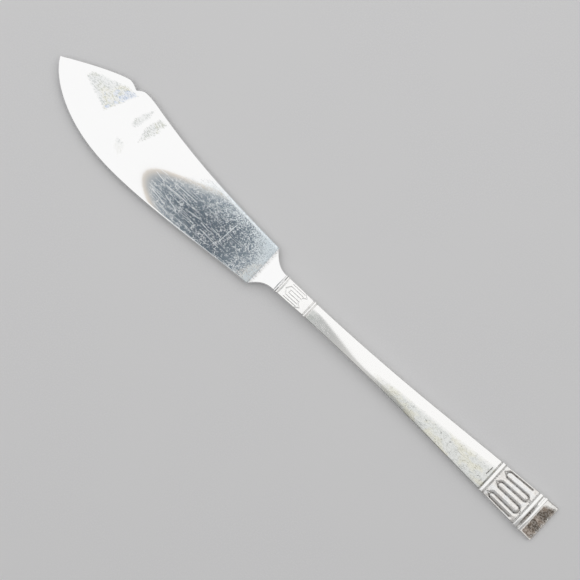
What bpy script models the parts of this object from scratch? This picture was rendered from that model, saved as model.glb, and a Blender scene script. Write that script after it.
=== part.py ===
"""A silver-plated butter knife, lying on the flat back of its handle.

The blade is a paddle with a notched back. Its shoulder narrows to a tang, which sits in a blind
socket in the solid handle, with a slug of solder behind it. The front of the handle has two panels
of a rounded meander, each between reeded bands, and slopes down to a thin rim at the end.

The knife is laid out from the seam between blade and handle: +X towards the tip, +Y towards the
cutting edge, +Z up. An empty then moves the origin to the table, under the middle of the knife.
All sizes are in metres.
"""

import math

import bmesh
import bpy
from mathutils import Vector

# Blade, seen from the front. Heights are measured from the axis of the handle.
SHOULDER_LENGTH = 0.0070
BLADE_LENGTH = 0.0794
HEEL_BACK_HEIGHT = 0.0068
HEEL_EDGE_HEIGHT = 0.0063
BELLY_HEIGHT = 0.00895
BELLY_FROM_TIP = 0.0371
TIP_HEIGHT = 0.0052
HUMP_HEIGHT = 0.01355
NOSE_BELOW_HUMP = 0.00025
NOTCH_DEPTH = 0.00105
NOTCH_FROM_TIP = 0.0216
NOTCH_TO_HUMP = 0.0025
NOTCH_TO_NOSE = 0.0032
HUMP_ROUNDING_LENGTH = 0.0061
HUMP_ROUNDING_DROP = 0.0009
TIP_FLAT = 0.0001

# Blade, through its thickness.
HEEL_THICKNESS = 0.0016
TIP_THICKNESS = 0.0009
BLADE_CROWN = 0.0002
BLADE_ROUNDING = 0.00032

# Handle, seen from the front.
HANDLE_LENGTH = 0.0976
NECK_WIDTH = 0.0055
WAIST_WIDTH = 0.0051
WAIST_FROM_SEAM = 0.0140
END_WIDTH = 0.0121
END_CORNER_RADIUS = 0.0006

# Handle, through its thickness.
NECK_THICKNESS = 0.0036
END_THICKNESS = 0.0023
END_RIM_THICKNESS = 0.0011
END_SLOPE_LENGTH = 0.0043
HANDLE_CROWN = 0.0002
HANDLE_ROUNDING = 0.0005

# Bands across the front of the handle.
REED_RISE = 0.0002
GROOVE_DEPTH = 0.0002
GROOVE_WIDTH = 0.0004
BLADE_REED_WIDTH = 0.0004
SEAM_REED_WIDTH = 0.0006
NECK_PANEL_LENGTH = 0.0088
NECK_REED_WIDTH = 0.0007
END_PANEL_LENGTH = 0.0112
END_REED_WIDTH = 0.0012
END_GROOVE_WIDTH = 0.0007
LAST_REED_WIDTH = 0.0009

# Meanders in the panels. Margins run from the panel's ends to where the straight runs stop.
NECK_LINE_RADIUS = 0.00012
NECK_SEAM_MARGIN = 0.0018
NECK_END_MARGIN = 0.0027
NECK_ARCH_REACH = 0.0009
NECK_SLOT_SETBACK = 0.0005
NECK_CHEVRON_REACH = 0.0011
END_LINE_RADIUS = 0.0002
END_ARCH_RADIUS = 0.00013
END_SEAM_MARGIN = 0.0023
END_END_MARGIN = 0.0016
END_ARCH_REACH = 0.0018
MEANDER_RUNS = 6

# Joint between blade and handle.
JOINT_GAP = 0.0003
SOCKET_WALL = 0.00085
TANG_LENGTH = 0.0200
TANG_ROOT_LENGTH = 0.0023
TANG_BEVEL = 0.0002
SOLDER_LENGTH = 0.0030

# Slopes and shares that give the outlines their character.
BACK_SLOPE_AT_HEEL = 0.055
BACK_SLOPE_BEFORE_HUMP = 0.22
EDGE_SLOPE_AT_HEEL = 0.06
NOTCH_SLOPE_TO_HUMP = 0.75
NOTCH_SLOPE_TO_NOSE = 0.5
NOSE_LINE_POWER = 1.22
BELLY_ALONG_POWER = 2.4
BELLY_ACROSS_POWER = 1.4
SHOULDER_SLOPE_AT_HEEL = 1.4
FLARE_SHARE_HALFWAY = 0.35
FLARE_SLOPE_HALFWAY = 0.060
FLARE_SLOPE_AT_END = 0.047
REED_SIDE_SHARE = 0.6

# Most that a rounded corner may take of the wall it ends and of the width it borders.
MOST_WALL_SHARE = 0.45
MOST_WIDTH_SHARE = 0.2

# Places of the meanders' lines across the handle, as shares of its half width.
END_RUNS_SHARE = 0.86
NECK_SLOT_SHARE = 0.17
NECK_ARCH_SHARE = 0.48
NECK_SIDE_SHARE = 0.75
NECK_CHEVRON_SHARES = (0.32, 0.60, 0.88)

# Fineness of the surfaces.
ROUNDING_STEPS = 2
CROWN_POINTS = 5
BLADE_STATION_STEP = 0.0030
SPAN_STATIONS = 4
HANDLE_STATION_STEP = 0.0040
SHOULDER_STATIONS = 7
FEATURE_STATIONS = 4
CORNER_STATIONS = 3
BEND_POINTS = 6
LINE_ROUNDING_STEPS = 2
SMOOTH_ANGLE = math.radians(32)
CLOSEST_STATIONS = 0.00005
WELD_DISTANCE = 0.000001


def through_knots(knots, position):
    """Height of a smooth outline at a position. A knot is (position, height, slope before, slope after)."""
    spans = zip(knots, knots[1:])
    near, far = next(span for span in spans if position <= span[1][0] or span[1] is knots[-1])
    length = far[0] - near[0]
    t = (position - near[0]) / length
    rest = 1 - t
    heights = near[1] * rest * rest * (1 + 2 * t) + far[1] * t * t * (1 + 2 * rest)
    slopes = near[3] * t * rest * rest - far[2] * t * t * rest
    return heights + length * slopes


def mixed(first, last, share):
    return first + (last - first) * share


def spread(first, last, count):
    """Evenly spaced positions from first to last, both included."""
    return [mixed(first, last, step / count) for step in range(count + 1)]


def thinned(positions):
    """The positions in order, without those that repeat the one before."""
    kept = []
    for position in sorted(positions):
        if not kept or position - kept[-1] > CLOSEST_STATIONS:
            kept.append(position)
    return kept


# Outline of the blade, by distance from the heel

NOTCH_AT = BLADE_LENGTH - NOTCH_FROM_TIP
HUMP_AT = NOTCH_AT - NOTCH_TO_HUMP
NOSE_AT = NOTCH_AT + NOTCH_TO_NOSE
HUMP_START = HUMP_AT - HUMP_ROUNDING_LENGTH
BELLY_AT = BLADE_LENGTH - BELLY_FROM_TIP
NOSE_HEIGHT = HUMP_HEIGHT - NOSE_BELOW_HUMP
NOTCH_HEIGHT = NOSE_HEIGHT - NOTCH_DEPTH

BACK_KNOTS = [
    (0, HEEL_BACK_HEIGHT, BACK_SLOPE_AT_HEEL, BACK_SLOPE_AT_HEEL),
    (HUMP_START, HUMP_HEIGHT - HUMP_ROUNDING_DROP, BACK_SLOPE_BEFORE_HUMP, BACK_SLOPE_BEFORE_HUMP),
    (HUMP_AT, HUMP_HEIGHT, 0, 0),
    (NOTCH_AT, NOTCH_HEIGHT, -NOTCH_SLOPE_TO_HUMP, NOTCH_SLOPE_TO_NOSE),
    (NOSE_AT, NOSE_HEIGHT, 0, 0),
]
EDGE_KNOTS = [
    (0, HEEL_EDGE_HEIGHT, EDGE_SLOPE_AT_HEEL, EDGE_SLOPE_AT_HEEL),
    (BELLY_AT, BELLY_HEIGHT, 0, 0),
]


def back_height(along):
    """Height of the blade's back: up to the hump, over the notch and the nose, then down to the tip."""
    if along <= NOSE_AT:
        return through_knots(BACK_KNOTS, along)
    share = (along - NOSE_AT) / (BLADE_LENGTH - NOSE_AT)
    return mixed(NOSE_HEIGHT, TIP_HEIGHT, share**NOSE_LINE_POWER)


def edge_height(along):
    """Depth of the cutting edge: straight to the belly, then a quarter of a rounded oval to the tip."""
    if along <= BELLY_AT:
        return through_knots(EDGE_KNOTS, along)
    share = (along - BELLY_AT) / BELLY_FROM_TIP
    left = (1 - share**BELLY_ALONG_POWER) ** (1 / BELLY_ACROSS_POWER)
    return mixed(-TIP_HEIGHT, BELLY_HEIGHT, left)


# Outline of the handle, by distance from the seam

END_SLOPE_AT = HANDLE_LENGTH - END_SLOPE_LENGTH
LAST_REED_AT = END_SLOPE_AT - LAST_REED_WIDTH
END_GROOVE_AT = LAST_REED_AT - END_GROOVE_WIDTH
SECOND_REED_AT = END_GROOVE_AT - END_REED_WIDTH
END_PANEL_AT = SECOND_REED_AT - GROOVE_WIDTH - END_PANEL_LENGTH
FIRST_REED_AT = END_PANEL_AT - GROOVE_WIDTH - END_REED_WIDTH
HANDLE_FACE_AT = JOINT_GAP / 2
SHOULDER_START = HANDLE_FACE_AT + BLADE_REED_WIDTH
NECK_PANEL_AT = HANDLE_FACE_AT + SEAM_REED_WIDTH
NECK_REED_AT = NECK_PANEL_AT + NECK_PANEL_LENGTH + GROOVE_WIDTH
FLARE_AT = (WAIST_FROM_SEAM + HANDLE_LENGTH) / 2

# Each reed and groove across the handle: (distance from the seam, width, rise).
BANDS = [
    (HANDLE_FACE_AT, SEAM_REED_WIDTH, REED_RISE),
    (NECK_REED_AT - GROOVE_WIDTH, GROOVE_WIDTH, -GROOVE_DEPTH),
    (NECK_REED_AT, NECK_REED_WIDTH, REED_RISE),
    (NECK_REED_AT + NECK_REED_WIDTH, GROOVE_WIDTH, -GROOVE_DEPTH),
    (FIRST_REED_AT - GROOVE_WIDTH, GROOVE_WIDTH, -GROOVE_DEPTH),
    (FIRST_REED_AT, END_REED_WIDTH, REED_RISE),
    (FIRST_REED_AT + END_REED_WIDTH, GROOVE_WIDTH, -GROOVE_DEPTH),
    (SECOND_REED_AT - GROOVE_WIDTH, GROOVE_WIDTH, -GROOVE_DEPTH),
    (SECOND_REED_AT, END_REED_WIDTH, REED_RISE),
    (END_GROOVE_AT, END_GROOVE_WIDTH, -GROOVE_DEPTH),
    (LAST_REED_AT, LAST_REED_WIDTH, REED_RISE),
]
WIDTH_KNOTS = [
    (0, NECK_WIDTH / 2, 0, 0),
    (WAIST_FROM_SEAM, WAIST_WIDTH / 2, 0, 0),
    (
        FLARE_AT,
        mixed(WAIST_WIDTH, END_WIDTH, FLARE_SHARE_HALFWAY) / 2,
        FLARE_SLOPE_HALFWAY,
        FLARE_SLOPE_HALFWAY,
    ),
    (HANDLE_LENGTH, END_WIDTH / 2, FLARE_SLOPE_AT_END, FLARE_SLOPE_AT_END),
]


def relief(distance):
    """Rise of the reeds and fall of the grooves, each a half wave."""
    for start, width, rise in BANDS:
        if start < distance < start + width:
            return rise * math.sin(math.pi * (distance - start) / width)
    return 0


def half_width(distance):
    return through_knots(WIDTH_KNOTS, distance)


def front_height(distance):
    """Height of the handle's front above the table, on its middle line and without the relief."""
    ease = (1 - math.cos(math.pi * distance / HANDLE_LENGTH)) / 2
    height = mixed(NECK_THICKNESS, END_THICKNESS, ease)
    past_slope = max(0, distance - END_SLOPE_AT) / END_SLOPE_LENGTH
    return height - past_slope * (END_THICKNESS - END_RIM_THICKNESS)


# Surfaces

def section(x, sides, heights, crowns, rounding):
    """A closed ring of points across the knife: round corners, and a front and underside that bow out."""
    back_y, edge_y = sides
    under_z, front_z = heights
    under_crown, front_crown = crowns
    middle = (back_y + edge_y) / 2
    wall = front_z - under_z - front_crown - under_crown
    corner = min(rounding, MOST_WALL_SHARE * wall, MOST_WIDTH_SHARE * (edge_y - back_y))
    flat = (edge_y - back_y) / 2 - corner
    ring = []
    for side, height, crown in ((1, front_z, front_crown), (-1, under_z, under_crown)):
        turns = spread(0, math.pi / 2, ROUNDING_STEPS)
        for turn in turns:
            fall = crown + corner * (1 - math.sin(turn))
            ring.append((x, middle + side * (flat + corner * math.cos(turn)), height - side * fall))
        for share in spread(1, -1, CROWN_POINTS + 1)[1:-1]:
            ring.append((x, middle + side * flat * share, height - side * crown * share * share))
        for turn in reversed(turns):
            fall = crown + corner * (1 - math.sin(turn))
            ring.append((x, middle - side * (flat + corner * math.cos(turn)), height - side * fall))
    return ring


def mesh_object(name, mesh, collection):
    mesh.shade_smooth()
    mesh.set_sharp_from_angle(angle=SMOOTH_ANGLE)
    made = bpy.data.objects.new(name, mesh)
    collection.objects.link(made)
    made.parent = ORIGIN
    return made


def loft(name, rings, collection):
    """A closed skin over rings of equally many points."""
    skin = bmesh.new()
    loops = [[skin.verts.new(point) for point in ring] for ring in rings]
    for near, far in zip(loops, loops[1:]):
        for corner in range(len(near)):
            after = (corner + 1) % len(near)
            skin.faces.new((near[corner], near[after], far[after], far[corner]))
    skin.faces.new(loops[0])
    skin.faces.new(loops[-1])
    bmesh.ops.recalc_face_normals(skin, faces=skin.faces)
    mesh = bpy.data.meshes.new(name)
    skin.to_mesh(mesh)
    skin.free()
    return mesh_object(name, mesh, collection)


def box(name, size, middle, collection):
    """A cuboid of the given size around its middle."""
    cube = bmesh.new()
    bmesh.ops.create_cube(cube, size=1)
    bmesh.ops.scale(cube, vec=size, verts=cube.verts)
    mesh = bpy.data.meshes.new(name)
    cube.to_mesh(mesh)
    cube.free()
    made = mesh_object(name, mesh, collection)
    made.location = middle
    return made


def combine(target, tool, operation):
    """Joins a helper to a part, or cuts it out, and hides the helper."""
    step = target.modifiers.new(f"{operation.lower()} {tool.name}", "BOOLEAN")
    step.operation = operation
    step.object = tool
    step.solver = "EXACT"
    tool.hide_render = True
    tool.display_type = "WIRE"


def soften_edges(target, width):
    bevel = target.modifiers.new("soft edges", "BEVEL")
    bevel.width = width
    bevel.segments = 1


def metal(name, colour, roughness):
    made = bpy.data.materials.new(name)
    made.use_nodes = True
    shader = made.node_tree.nodes["Principled BSDF"]
    shader.inputs["Base Color"].default_value = (*colour, 1)
    shader.inputs["Metallic"].default_value = 1
    shader.inputs["Roughness"].default_value = roughness
    return made


# Tang, socket and solder share one cross-section

TANG_SECTION = Vector(
    (0, WAIST_WIDTH - 2 * (SOCKET_WALL + JOINT_GAP), NECK_THICKNESS - 2 * (SOCKET_WALL + JOINT_GAP))
)
AXIS_HEIGHT = NECK_THICKNESS / 2


def on_axis(name, first, last, clearance, collection):
    """A bar of the tang's cross-section, plus a clearance all round, between two distances from the seam."""
    room = Vector((last - first, 2 * clearance, 2 * clearance))
    middle = (-(first + last) / 2, 0, AXIS_HEIGHT)
    return box(name, TANG_SECTION + room, middle, collection)


# Blade

def blade_stations():
    """Distances from the heel, closer together where the outline turns."""
    turning = [0, HUMP_START, HUMP_AT, NOTCH_AT, NOSE_AT, BELLY_AT, BLADE_LENGTH - TIP_FLAT]
    stations = []
    for near, far in zip(sorted(turning), sorted(turning)[1:]):
        count = max(SPAN_STATIONS, math.ceil((far - near) / BLADE_STATION_STEP))
        stations += spread(near, far, count)
    tip_run = spread(0, math.pi / 2, SPAN_STATIONS)
    stations += [BLADE_LENGTH - TIP_FLAT - TIP_HEIGHT * (1 - math.sin(turn)) for turn in tip_run]
    return thinned(stations)


def blade_ring(along):
    thickness = mixed(HEEL_THICKNESS, TIP_THICKNESS, along / BLADE_LENGTH)
    return section(
        SHOULDER_LENGTH + along,
        (-back_height(along), edge_height(along)),
        (AXIS_HEIGHT - thickness / 2, AXIS_HEIGHT + thickness / 2),
        (BLADE_CROWN, BLADE_CROWN),
        BLADE_ROUNDING,
    )


def seam_ring(distance):
    """A ring of the reed on the blade's side of the seam, which has no relief underneath."""
    rise = REED_RISE * math.sin(math.pi * (distance - HANDLE_FACE_AT) / BLADE_REED_WIDTH)
    reach = NECK_WIDTH / 2 + rise * REED_SIDE_SHARE
    crowns = (0, HANDLE_CROWN)
    return section(distance, (-reach, reach), (0, NECK_THICKNESS + rise), crowns, HANDLE_ROUNDING)


def shoulder_ring(share):
    """A ring between the neck and the heel: it widens in a hollow curve and slopes down to the blade."""
    x = mixed(SHOULDER_START, SHOULDER_LENGTH, share)
    reaches = []
    for heel_height in (HEEL_BACK_HEIGHT, HEEL_EDGE_HEIGHT):
        knots = [
            (SHOULDER_START, NECK_WIDTH / 2, 0, 0),
            (SHOULDER_LENGTH, heel_height, SHOULDER_SLOPE_AT_HEEL, SHOULDER_SLOPE_AT_HEEL),
        ]
        reaches.append(through_knots(knots, x))
    half = mixed(NECK_THICKNESS, HEEL_THICKNESS, share) / 2
    return section(
        x,
        (-reaches[0], reaches[1]),
        (AXIS_HEIGHT - half, AXIS_HEIGHT + half),
        (mixed(0, BLADE_CROWN, share), mixed(HANDLE_CROWN, BLADE_CROWN, share)),
        mixed(HANDLE_ROUNDING, BLADE_ROUNDING, share),
    )


def make_blade(parts, helpers):
    reed = spread(HANDLE_FACE_AT, SHOULDER_START, FEATURE_STATIONS)
    rings = [seam_ring(distance) for distance in reed[:-1]]
    rings += [shoulder_ring(share) for share in spread(0, 1, SHOULDER_STATIONS)[:-1]]
    rings += [blade_ring(along) for along in blade_stations()]
    blade = loft("blade", rings, parts)
    tang = on_axis("tang", -TANG_ROOT_LENGTH, TANG_LENGTH, 0, helpers)
    soften_edges(tang, TANG_BEVEL)
    combine(blade, tang, "UNION")
    blade.data.materials.append(metal("blade_silver", (0.87, 0.86, 0.84), 0.12))
    return blade


# Handle

def handle_stations():
    """Distances from the seam: even steps, plus the reeds, the grooves and the slope at the end."""
    square_end = HANDLE_LENGTH - END_CORNER_RADIUS
    steps = math.ceil((square_end - HANDLE_FACE_AT) / HANDLE_STATION_STEP)
    stations = [END_SLOPE_AT, square_end]
    for start, width, _ in BANDS:
        stations += spread(start, start + width, FEATURE_STATIONS)
    for even in spread(HANDLE_FACE_AT, square_end, steps):
        if all(not start < even < start + width for start, width, _ in BANDS):
            stations.append(even)
    return thinned(stations)


def handle_ring(distance, narrowing=0):
    rise = relief(distance)
    reach = half_width(distance) + rise * REED_SIDE_SHARE - narrowing
    heights = (0, front_height(distance) + rise)
    return section(-distance, (-reach, reach), heights, (0, HANDLE_CROWN), HANDLE_ROUNDING)


def on_front(distance, across):
    """The point of the handle's front at a distance from the seam and a share of the half width."""
    height = front_height(distance) - HANDLE_CROWN * across * across
    return Vector((-distance, across * half_width(distance), height))


def end_meander():
    """One line that runs up and down the panel, with a round turn at the end of each run."""
    first = END_PANEL_AT + END_SEAM_MARGIN
    last = END_PANEL_AT + END_PANEL_LENGTH - END_END_MARGIN
    lanes = spread(-END_RUNS_SHARE, END_RUNS_SHARE, MEANDER_RUNS - 1)
    line = [(last, lanes[0])]
    arches = []
    for number, (lane, after) in enumerate(zip(lanes, lanes[1:])):
        bend_at, outward = (first, -1) if number % 2 == 0 else (last, 1)
        middle = (lane + after) / 2
        apart = (after - lane) / 2
        for turn in spread(-math.pi / 2, math.pi / 2, BEND_POINTS):
            reach = outward * apart * half_width(bend_at) * math.cos(turn)
            line.append((bend_at + reach, middle + apart * math.sin(turn)))
        arches.append([(bend_at, lane), (bend_at + outward * END_ARCH_REACH, middle), (bend_at, after)])
    line.append((first if MEANDER_RUNS % 2 else last, lanes[-1]))
    return line, arches


def both_sides(half, tip=()):
    """A line that runs along one side of the handle, through a tip on the axis, and back along the other."""
    return [*half, *tip, *((distance, -across) for distance, across in reversed(half))]


def neck_meander():
    """A pointed arch round a slot, a line along each side and a chevron at the far end of each."""
    first = NECK_PANEL_AT + NECK_SEAM_MARGIN
    last = NECK_PANEL_AT + NECK_PANEL_LENGTH - NECK_END_MARGIN
    slot_end = first + NECK_SLOT_SETBACK
    lines = [
        both_sides([(last, NECK_ARCH_SHARE), (first, NECK_ARCH_SHARE)], [(first - NECK_ARCH_REACH, 0)]),
        both_sides([(last, NECK_SLOT_SHARE), (slot_end, NECK_SLOT_SHARE)]),
    ]
    inner, tip, outer = NECK_CHEVRON_SHARES
    near = last + NECK_LINE_RADIUS
    far = last + NECK_CHEVRON_REACH
    for side in (-1, 1):
        lines.append([(first, side * NECK_SIDE_SHARE), (last, side * NECK_SIDE_SHARE)])
        lines.append([(near, side * inner), (far, side * tip), (near, side * outer)])
    return lines


def groove_cutter(name, lines, radius, collection):
    """Tubes along lines of (distance from the seam, share of half width), to be cut from the front."""
    curve = bpy.data.curves.new(name, "CURVE")
    curve.dimensions = "3D"
    curve.bevel_depth = radius
    curve.bevel_resolution = LINE_ROUNDING_STEPS
    curve.use_fill_caps = True
    for line in lines:
        spline = curve.splines.new("POLY")
        spline.points.add(len(line) - 1)
        for knot, (distance, across) in zip(spline.points, line):
            knot.co = (*on_front(distance, across), 1)
    guide = bpy.data.objects.new(name, curve)
    collection.objects.link(guide)
    mesh = bpy.data.meshes.new_from_object(guide.evaluated_get(bpy.context.evaluated_depsgraph_get()))
    bpy.data.objects.remove(guide)
    welded = bmesh.new()
    welded.from_mesh(mesh)
    bmesh.ops.remove_doubles(welded, verts=welded.verts, dist=WELD_DISTANCE)
    bmesh.ops.recalc_face_normals(welded, faces=welded.faces)
    welded.to_mesh(mesh)
    welded.free()
    return mesh_object(name, mesh, collection)


def make_handle(parts, helpers):
    rings = [handle_ring(distance) for distance in handle_stations()]
    for turn in spread(0, math.pi / 2, CORNER_STATIONS)[1:]:
        distance = HANDLE_LENGTH - END_CORNER_RADIUS * (1 - math.sin(turn))
        rings.append(handle_ring(distance, END_CORNER_RADIUS * (1 - math.cos(turn))))
    handle = loft("handle", rings, parts)
    socket_end = TANG_LENGTH + JOINT_GAP + SOLDER_LENGTH + JOINT_GAP
    socket = on_axis("tang_socket", -TANG_ROOT_LENGTH, socket_end, JOINT_GAP, helpers)
    runs, arches = end_meander()
    cutters = [
        socket,
        groove_cutter("neck_meander", neck_meander(), NECK_LINE_RADIUS, helpers),
        groove_cutter("end_meander", [runs], END_LINE_RADIUS, helpers),
        groove_cutter("end_arches", arches, END_ARCH_RADIUS, helpers),
    ]
    for cutter in cutters:
        combine(handle, cutter, "DIFFERENCE")
    handle.data.materials.append(metal("handle_silver", (0.85, 0.84, 0.81), 0.18))
    return handle


def make_solder(parts):
    first = TANG_LENGTH + JOINT_GAP
    slug = on_axis("tang_solder", first, first + SOLDER_LENGTH, 0, parts)
    soften_edges(slug, TANG_BEVEL)
    slug.data.materials.append(metal("solder_grey", (0.62, 0.61, 0.58), 0.45))
    return slug


# The knife

def new_collection(name):
    made = bpy.data.collections.new(name)
    bpy.context.scene.collection.children.link(made)
    return made


for old in list(bpy.data.objects):
    bpy.data.objects.remove(old)

PARTS = new_collection("butter_knife")
HELPERS = new_collection("cutters")
ORIGIN = bpy.data.objects.new("table_point", None)
PARTS.objects.link(ORIGIN)

BLADE = make_blade(PARTS, HELPERS)
HANDLE = make_handle(PARTS, HELPERS)
make_solder(PARTS)

OUTLINE = [corner.co for part in (BLADE, HANDLE) for corner in part.data.vertices]
ORIGIN.location = [
    -(min(point[axis] for point in OUTLINE) + max(point[axis] for point in OUTLINE)) / 2
    for axis in (0, 1)
] + [0]
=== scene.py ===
# %% [markdown]
# # A silver-plated butter knife
# A butter knife is one of the simplest pieces of cutlery: a paddle of a blade, a shoulder, a slim handle
# with a little ornament. Nothing on it moves. What makes it real is the metal, so most of this lesson is
# about fine, smooth meshes and about plate that has been polished, scratched and tarnished for years.
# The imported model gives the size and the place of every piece. We dress it and never move it.

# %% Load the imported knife
import math

import bmesh
import bpy
import numpy as np
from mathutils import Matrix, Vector


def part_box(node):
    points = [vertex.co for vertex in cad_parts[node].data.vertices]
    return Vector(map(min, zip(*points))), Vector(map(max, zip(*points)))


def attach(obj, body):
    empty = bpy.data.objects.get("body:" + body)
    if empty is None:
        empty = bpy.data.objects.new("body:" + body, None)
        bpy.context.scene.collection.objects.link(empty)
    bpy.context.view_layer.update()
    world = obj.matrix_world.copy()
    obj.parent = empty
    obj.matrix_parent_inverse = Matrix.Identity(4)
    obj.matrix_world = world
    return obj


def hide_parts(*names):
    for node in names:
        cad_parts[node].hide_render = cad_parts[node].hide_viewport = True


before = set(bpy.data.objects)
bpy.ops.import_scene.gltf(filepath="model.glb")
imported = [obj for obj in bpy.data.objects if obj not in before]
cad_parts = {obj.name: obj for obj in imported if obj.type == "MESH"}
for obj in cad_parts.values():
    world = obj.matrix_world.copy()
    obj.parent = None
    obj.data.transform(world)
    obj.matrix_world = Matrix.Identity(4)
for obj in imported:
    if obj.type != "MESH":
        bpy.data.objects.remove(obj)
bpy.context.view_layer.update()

MM = 0.001

# %% [markdown]
# ## Where everything is measured from
# Blade and handle meet at a seam in the neck. The maker measures both from there: the blade towards the
# tip, the handle towards its end, and widths from the line down the middle of the handle. The frame has
# no object for that line, but the boxes of its nodes give it.

# %% Find the seam and the axis
blade_low, blade_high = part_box("blade")
handle_low, handle_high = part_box("handle")
solder_low, solder_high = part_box("tang_solder")

JOINT_GAP = 0.3 * MM
SEAM_X = handle_high.x + JOINT_GAP / 2
AXIS_Y = (handle_low.y + handle_high.y) / 2
AXIS_Z = (solder_low.z + solder_high.z) / 2
HANDLE_LENGTH = SEAM_X - handle_low.x
NECK_THICKNESS = 2 * AXIS_Z
print(f"seam at x {SEAM_X / MM:.2f} mm, axis at y {AXIS_Y / MM:.2f} mm, z {AXIS_Z / MM:.2f} mm")

# %% [markdown]
# ## Smooth outlines
# The outline of a knife is drawn with a few long curves that meet in known points. A cubic between two
# points, with a slope given at each, is enough for all of them. A point may have two slopes, one for
# each side, and then the outline has a corner there, as at the bottom of the notch. The small functions
# after it serve the whole lesson: they mix two values, let one rise, and space out positions.

# %% A line through knots
def smooth_line(knots, positions):
    """Heights at the positions, through knots of (position, height, slope before, slope after)."""
    positions = np.clip(np.asarray(positions, float), knots[0][0], knots[-1][0])
    heights = np.zeros_like(positions)
    for near, far in zip(knots, knots[1:]):
        inside = (positions >= near[0]) & (positions <= far[0])
        length = far[0] - near[0]
        t = (positions[inside] - near[0]) / length
        rest = 1 - t
        level = near[1] * rest**2 * (1 + 2 * t) + far[1] * t**2 * (1 + 2 * rest)
        heights[inside] = level + length * (near[3] * t * rest**2 - far[2] * t**2 * rest)
    return heights


def mixed(first, last, share):
    """The value at a share of the way from first to last."""
    return first + (last - first) * share


def rising(value, none, full):
    """0 where a value is at none or beyond it, rising evenly to 1 where it reaches full."""
    return np.clip((value - none) / (full - none), 0, 1)


def run(first, last, step):
    """Positions from first to last, both included, no further apart than step."""
    return np.linspace(first, last, math.ceil(abs(last - first) / step) + 1)


def merged(runs, closest=0.02 * MM):
    """All positions of several runs in order, without those that crowd the one before."""
    kept = []
    for position in np.sort(np.concatenate(runs)):
        if not kept or position - kept[-1] > closest:
            kept.append(position)
    return np.array(kept)


# %% [markdown]
# ## The outline of the blade
# The back of the blade climbs from the heel to a hump, dips into a small notch, rises to a nose and then
# runs down to the tip. The cutting edge bellies out and comes round to the tip as a quarter of an oval.
# The hump and the belly are the widest places, so the node's box gives their heights.

# %% Back and edge of the blade
SHOULDER_LENGTH = 7.0 * MM
TIP_FLAT = 0.1 * MM
HEEL_X = SEAM_X + SHOULDER_LENGTH
BLADE_LENGTH = blade_high.x + TIP_FLAT - HEEL_X
HEEL_BACK = 6.8 * MM
HEEL_EDGE = 6.3 * MM
HUMP_HEIGHT = AXIS_Y - blade_low.y
HUMP_START_HEIGHT = HUMP_HEIGHT - 0.9 * MM
NOSE_HEIGHT = HUMP_HEIGHT - 0.25 * MM
NOTCH_HEIGHT = NOSE_HEIGHT - 1.05 * MM
BELLY_HEIGHT = blade_high.y - AXIS_Y
TIP_HEIGHT = 5.2 * MM
NOTCH_AT = BLADE_LENGTH - 21.6 * MM
HUMP_AT = NOTCH_AT - 2.5 * MM
NOSE_AT = NOTCH_AT + 3.2 * MM
HUMP_START = HUMP_AT - 6.1 * MM
BELLY_AT = BLADE_LENGTH - 37.1 * MM
NOSE_LINE_POWER = 1.22
BELLY_POWERS = (2.4, 1.4)

BACK_KNOTS = [
    # distance from the heel, height, slope before, slope after
    (0, HEEL_BACK, 0.055, 0.055),
    (HUMP_START, HUMP_START_HEIGHT, 0.22, 0.22),
    (HUMP_AT, HUMP_HEIGHT, 0, 0),
    (NOTCH_AT, NOTCH_HEIGHT, -0.75, 0.5),
    (NOSE_AT, NOSE_HEIGHT, 0, 0),
]
EDGE_KNOTS = [(0, HEEL_EDGE, 0.06, 0.06), (BELLY_AT, BELLY_HEIGHT, 0, 0)]


def back_line(along):
    """Height of the back above the axis, by distance from the heel."""
    past_nose = rising(along, NOSE_AT, BLADE_LENGTH)
    to_tip = mixed(NOSE_HEIGHT, TIP_HEIGHT, past_nose**NOSE_LINE_POWER)
    return np.where(along <= NOSE_AT, smooth_line(BACK_KNOTS, along), to_tip)


def edge_line(along):
    """Depth of the cutting edge below the axis, by distance from the heel."""
    past_belly = rising(along, BELLY_AT, BLADE_LENGTH)
    left = (1 - past_belly ** BELLY_POWERS[0]) ** (1 / BELLY_POWERS[1])
    to_tip = mixed(-TIP_HEIGHT, BELLY_HEIGHT, left)
    return np.where(along <= BELLY_AT, smooth_line(EDGE_KNOTS, along), to_tip)


print(f"blade {BLADE_LENGTH / MM:.1f} mm from heel to tip, notch at {NOTCH_AT / MM:.1f} mm")

# %% [markdown]
# ## A skin over rings
# Blade and handle are both long, with a rounded section that changes along the way, so each is a skin
# over rings of points. Subdivision could smooth a coarse cage, but polished metal shows every ripple
# in its reflections. Rings that follow the formulas closely keep the faces as true as the maker's rollers.
# Each ring starts on the front at the back of the blade, crosses to the edge, goes round it, returns
# underneath and comes up again.

# %% One ring, and a skin over many
CORNER_STEPS = 5
MOST_WALL_SHARE = 0.45
MOST_WIDTH_SHARE = 0.2
SMOOTH_ANGLE = math.radians(40)


def corner_for(rounding, wall, width):
    """A rounding, limited by the wall and the width that it borders."""
    return min(rounding, MOST_WALL_SHARE * wall, MOST_WIDTH_SHARE * width)


def ring_of(x, front, under, corner):
    """A closed ring at x. front and under are (y, z) points, from back to edge and from edge to back."""
    turns = np.linspace(0, math.pi / 2, CORNER_STEPS + 1)[1:]
    out, fall = corner * np.sin(turns), corner * (1 - np.cos(turns))
    down_edge = np.column_stack([front[-1, 0] + out, front[-1, 1] - fall])
    in_edge = np.column_stack([under[0, 0] + out, under[0, 1] + fall])[::-1]
    out_back = np.column_stack([under[-1, 0] - out, under[-1, 1] + fall])
    up_back = np.column_stack([front[0, 0] - out, front[0, 1] - fall])[::-1]
    ring = np.concatenate([front, down_edge, in_edge, under, out_back, up_back])
    return np.column_stack([np.full(len(ring), x), ring])


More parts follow.
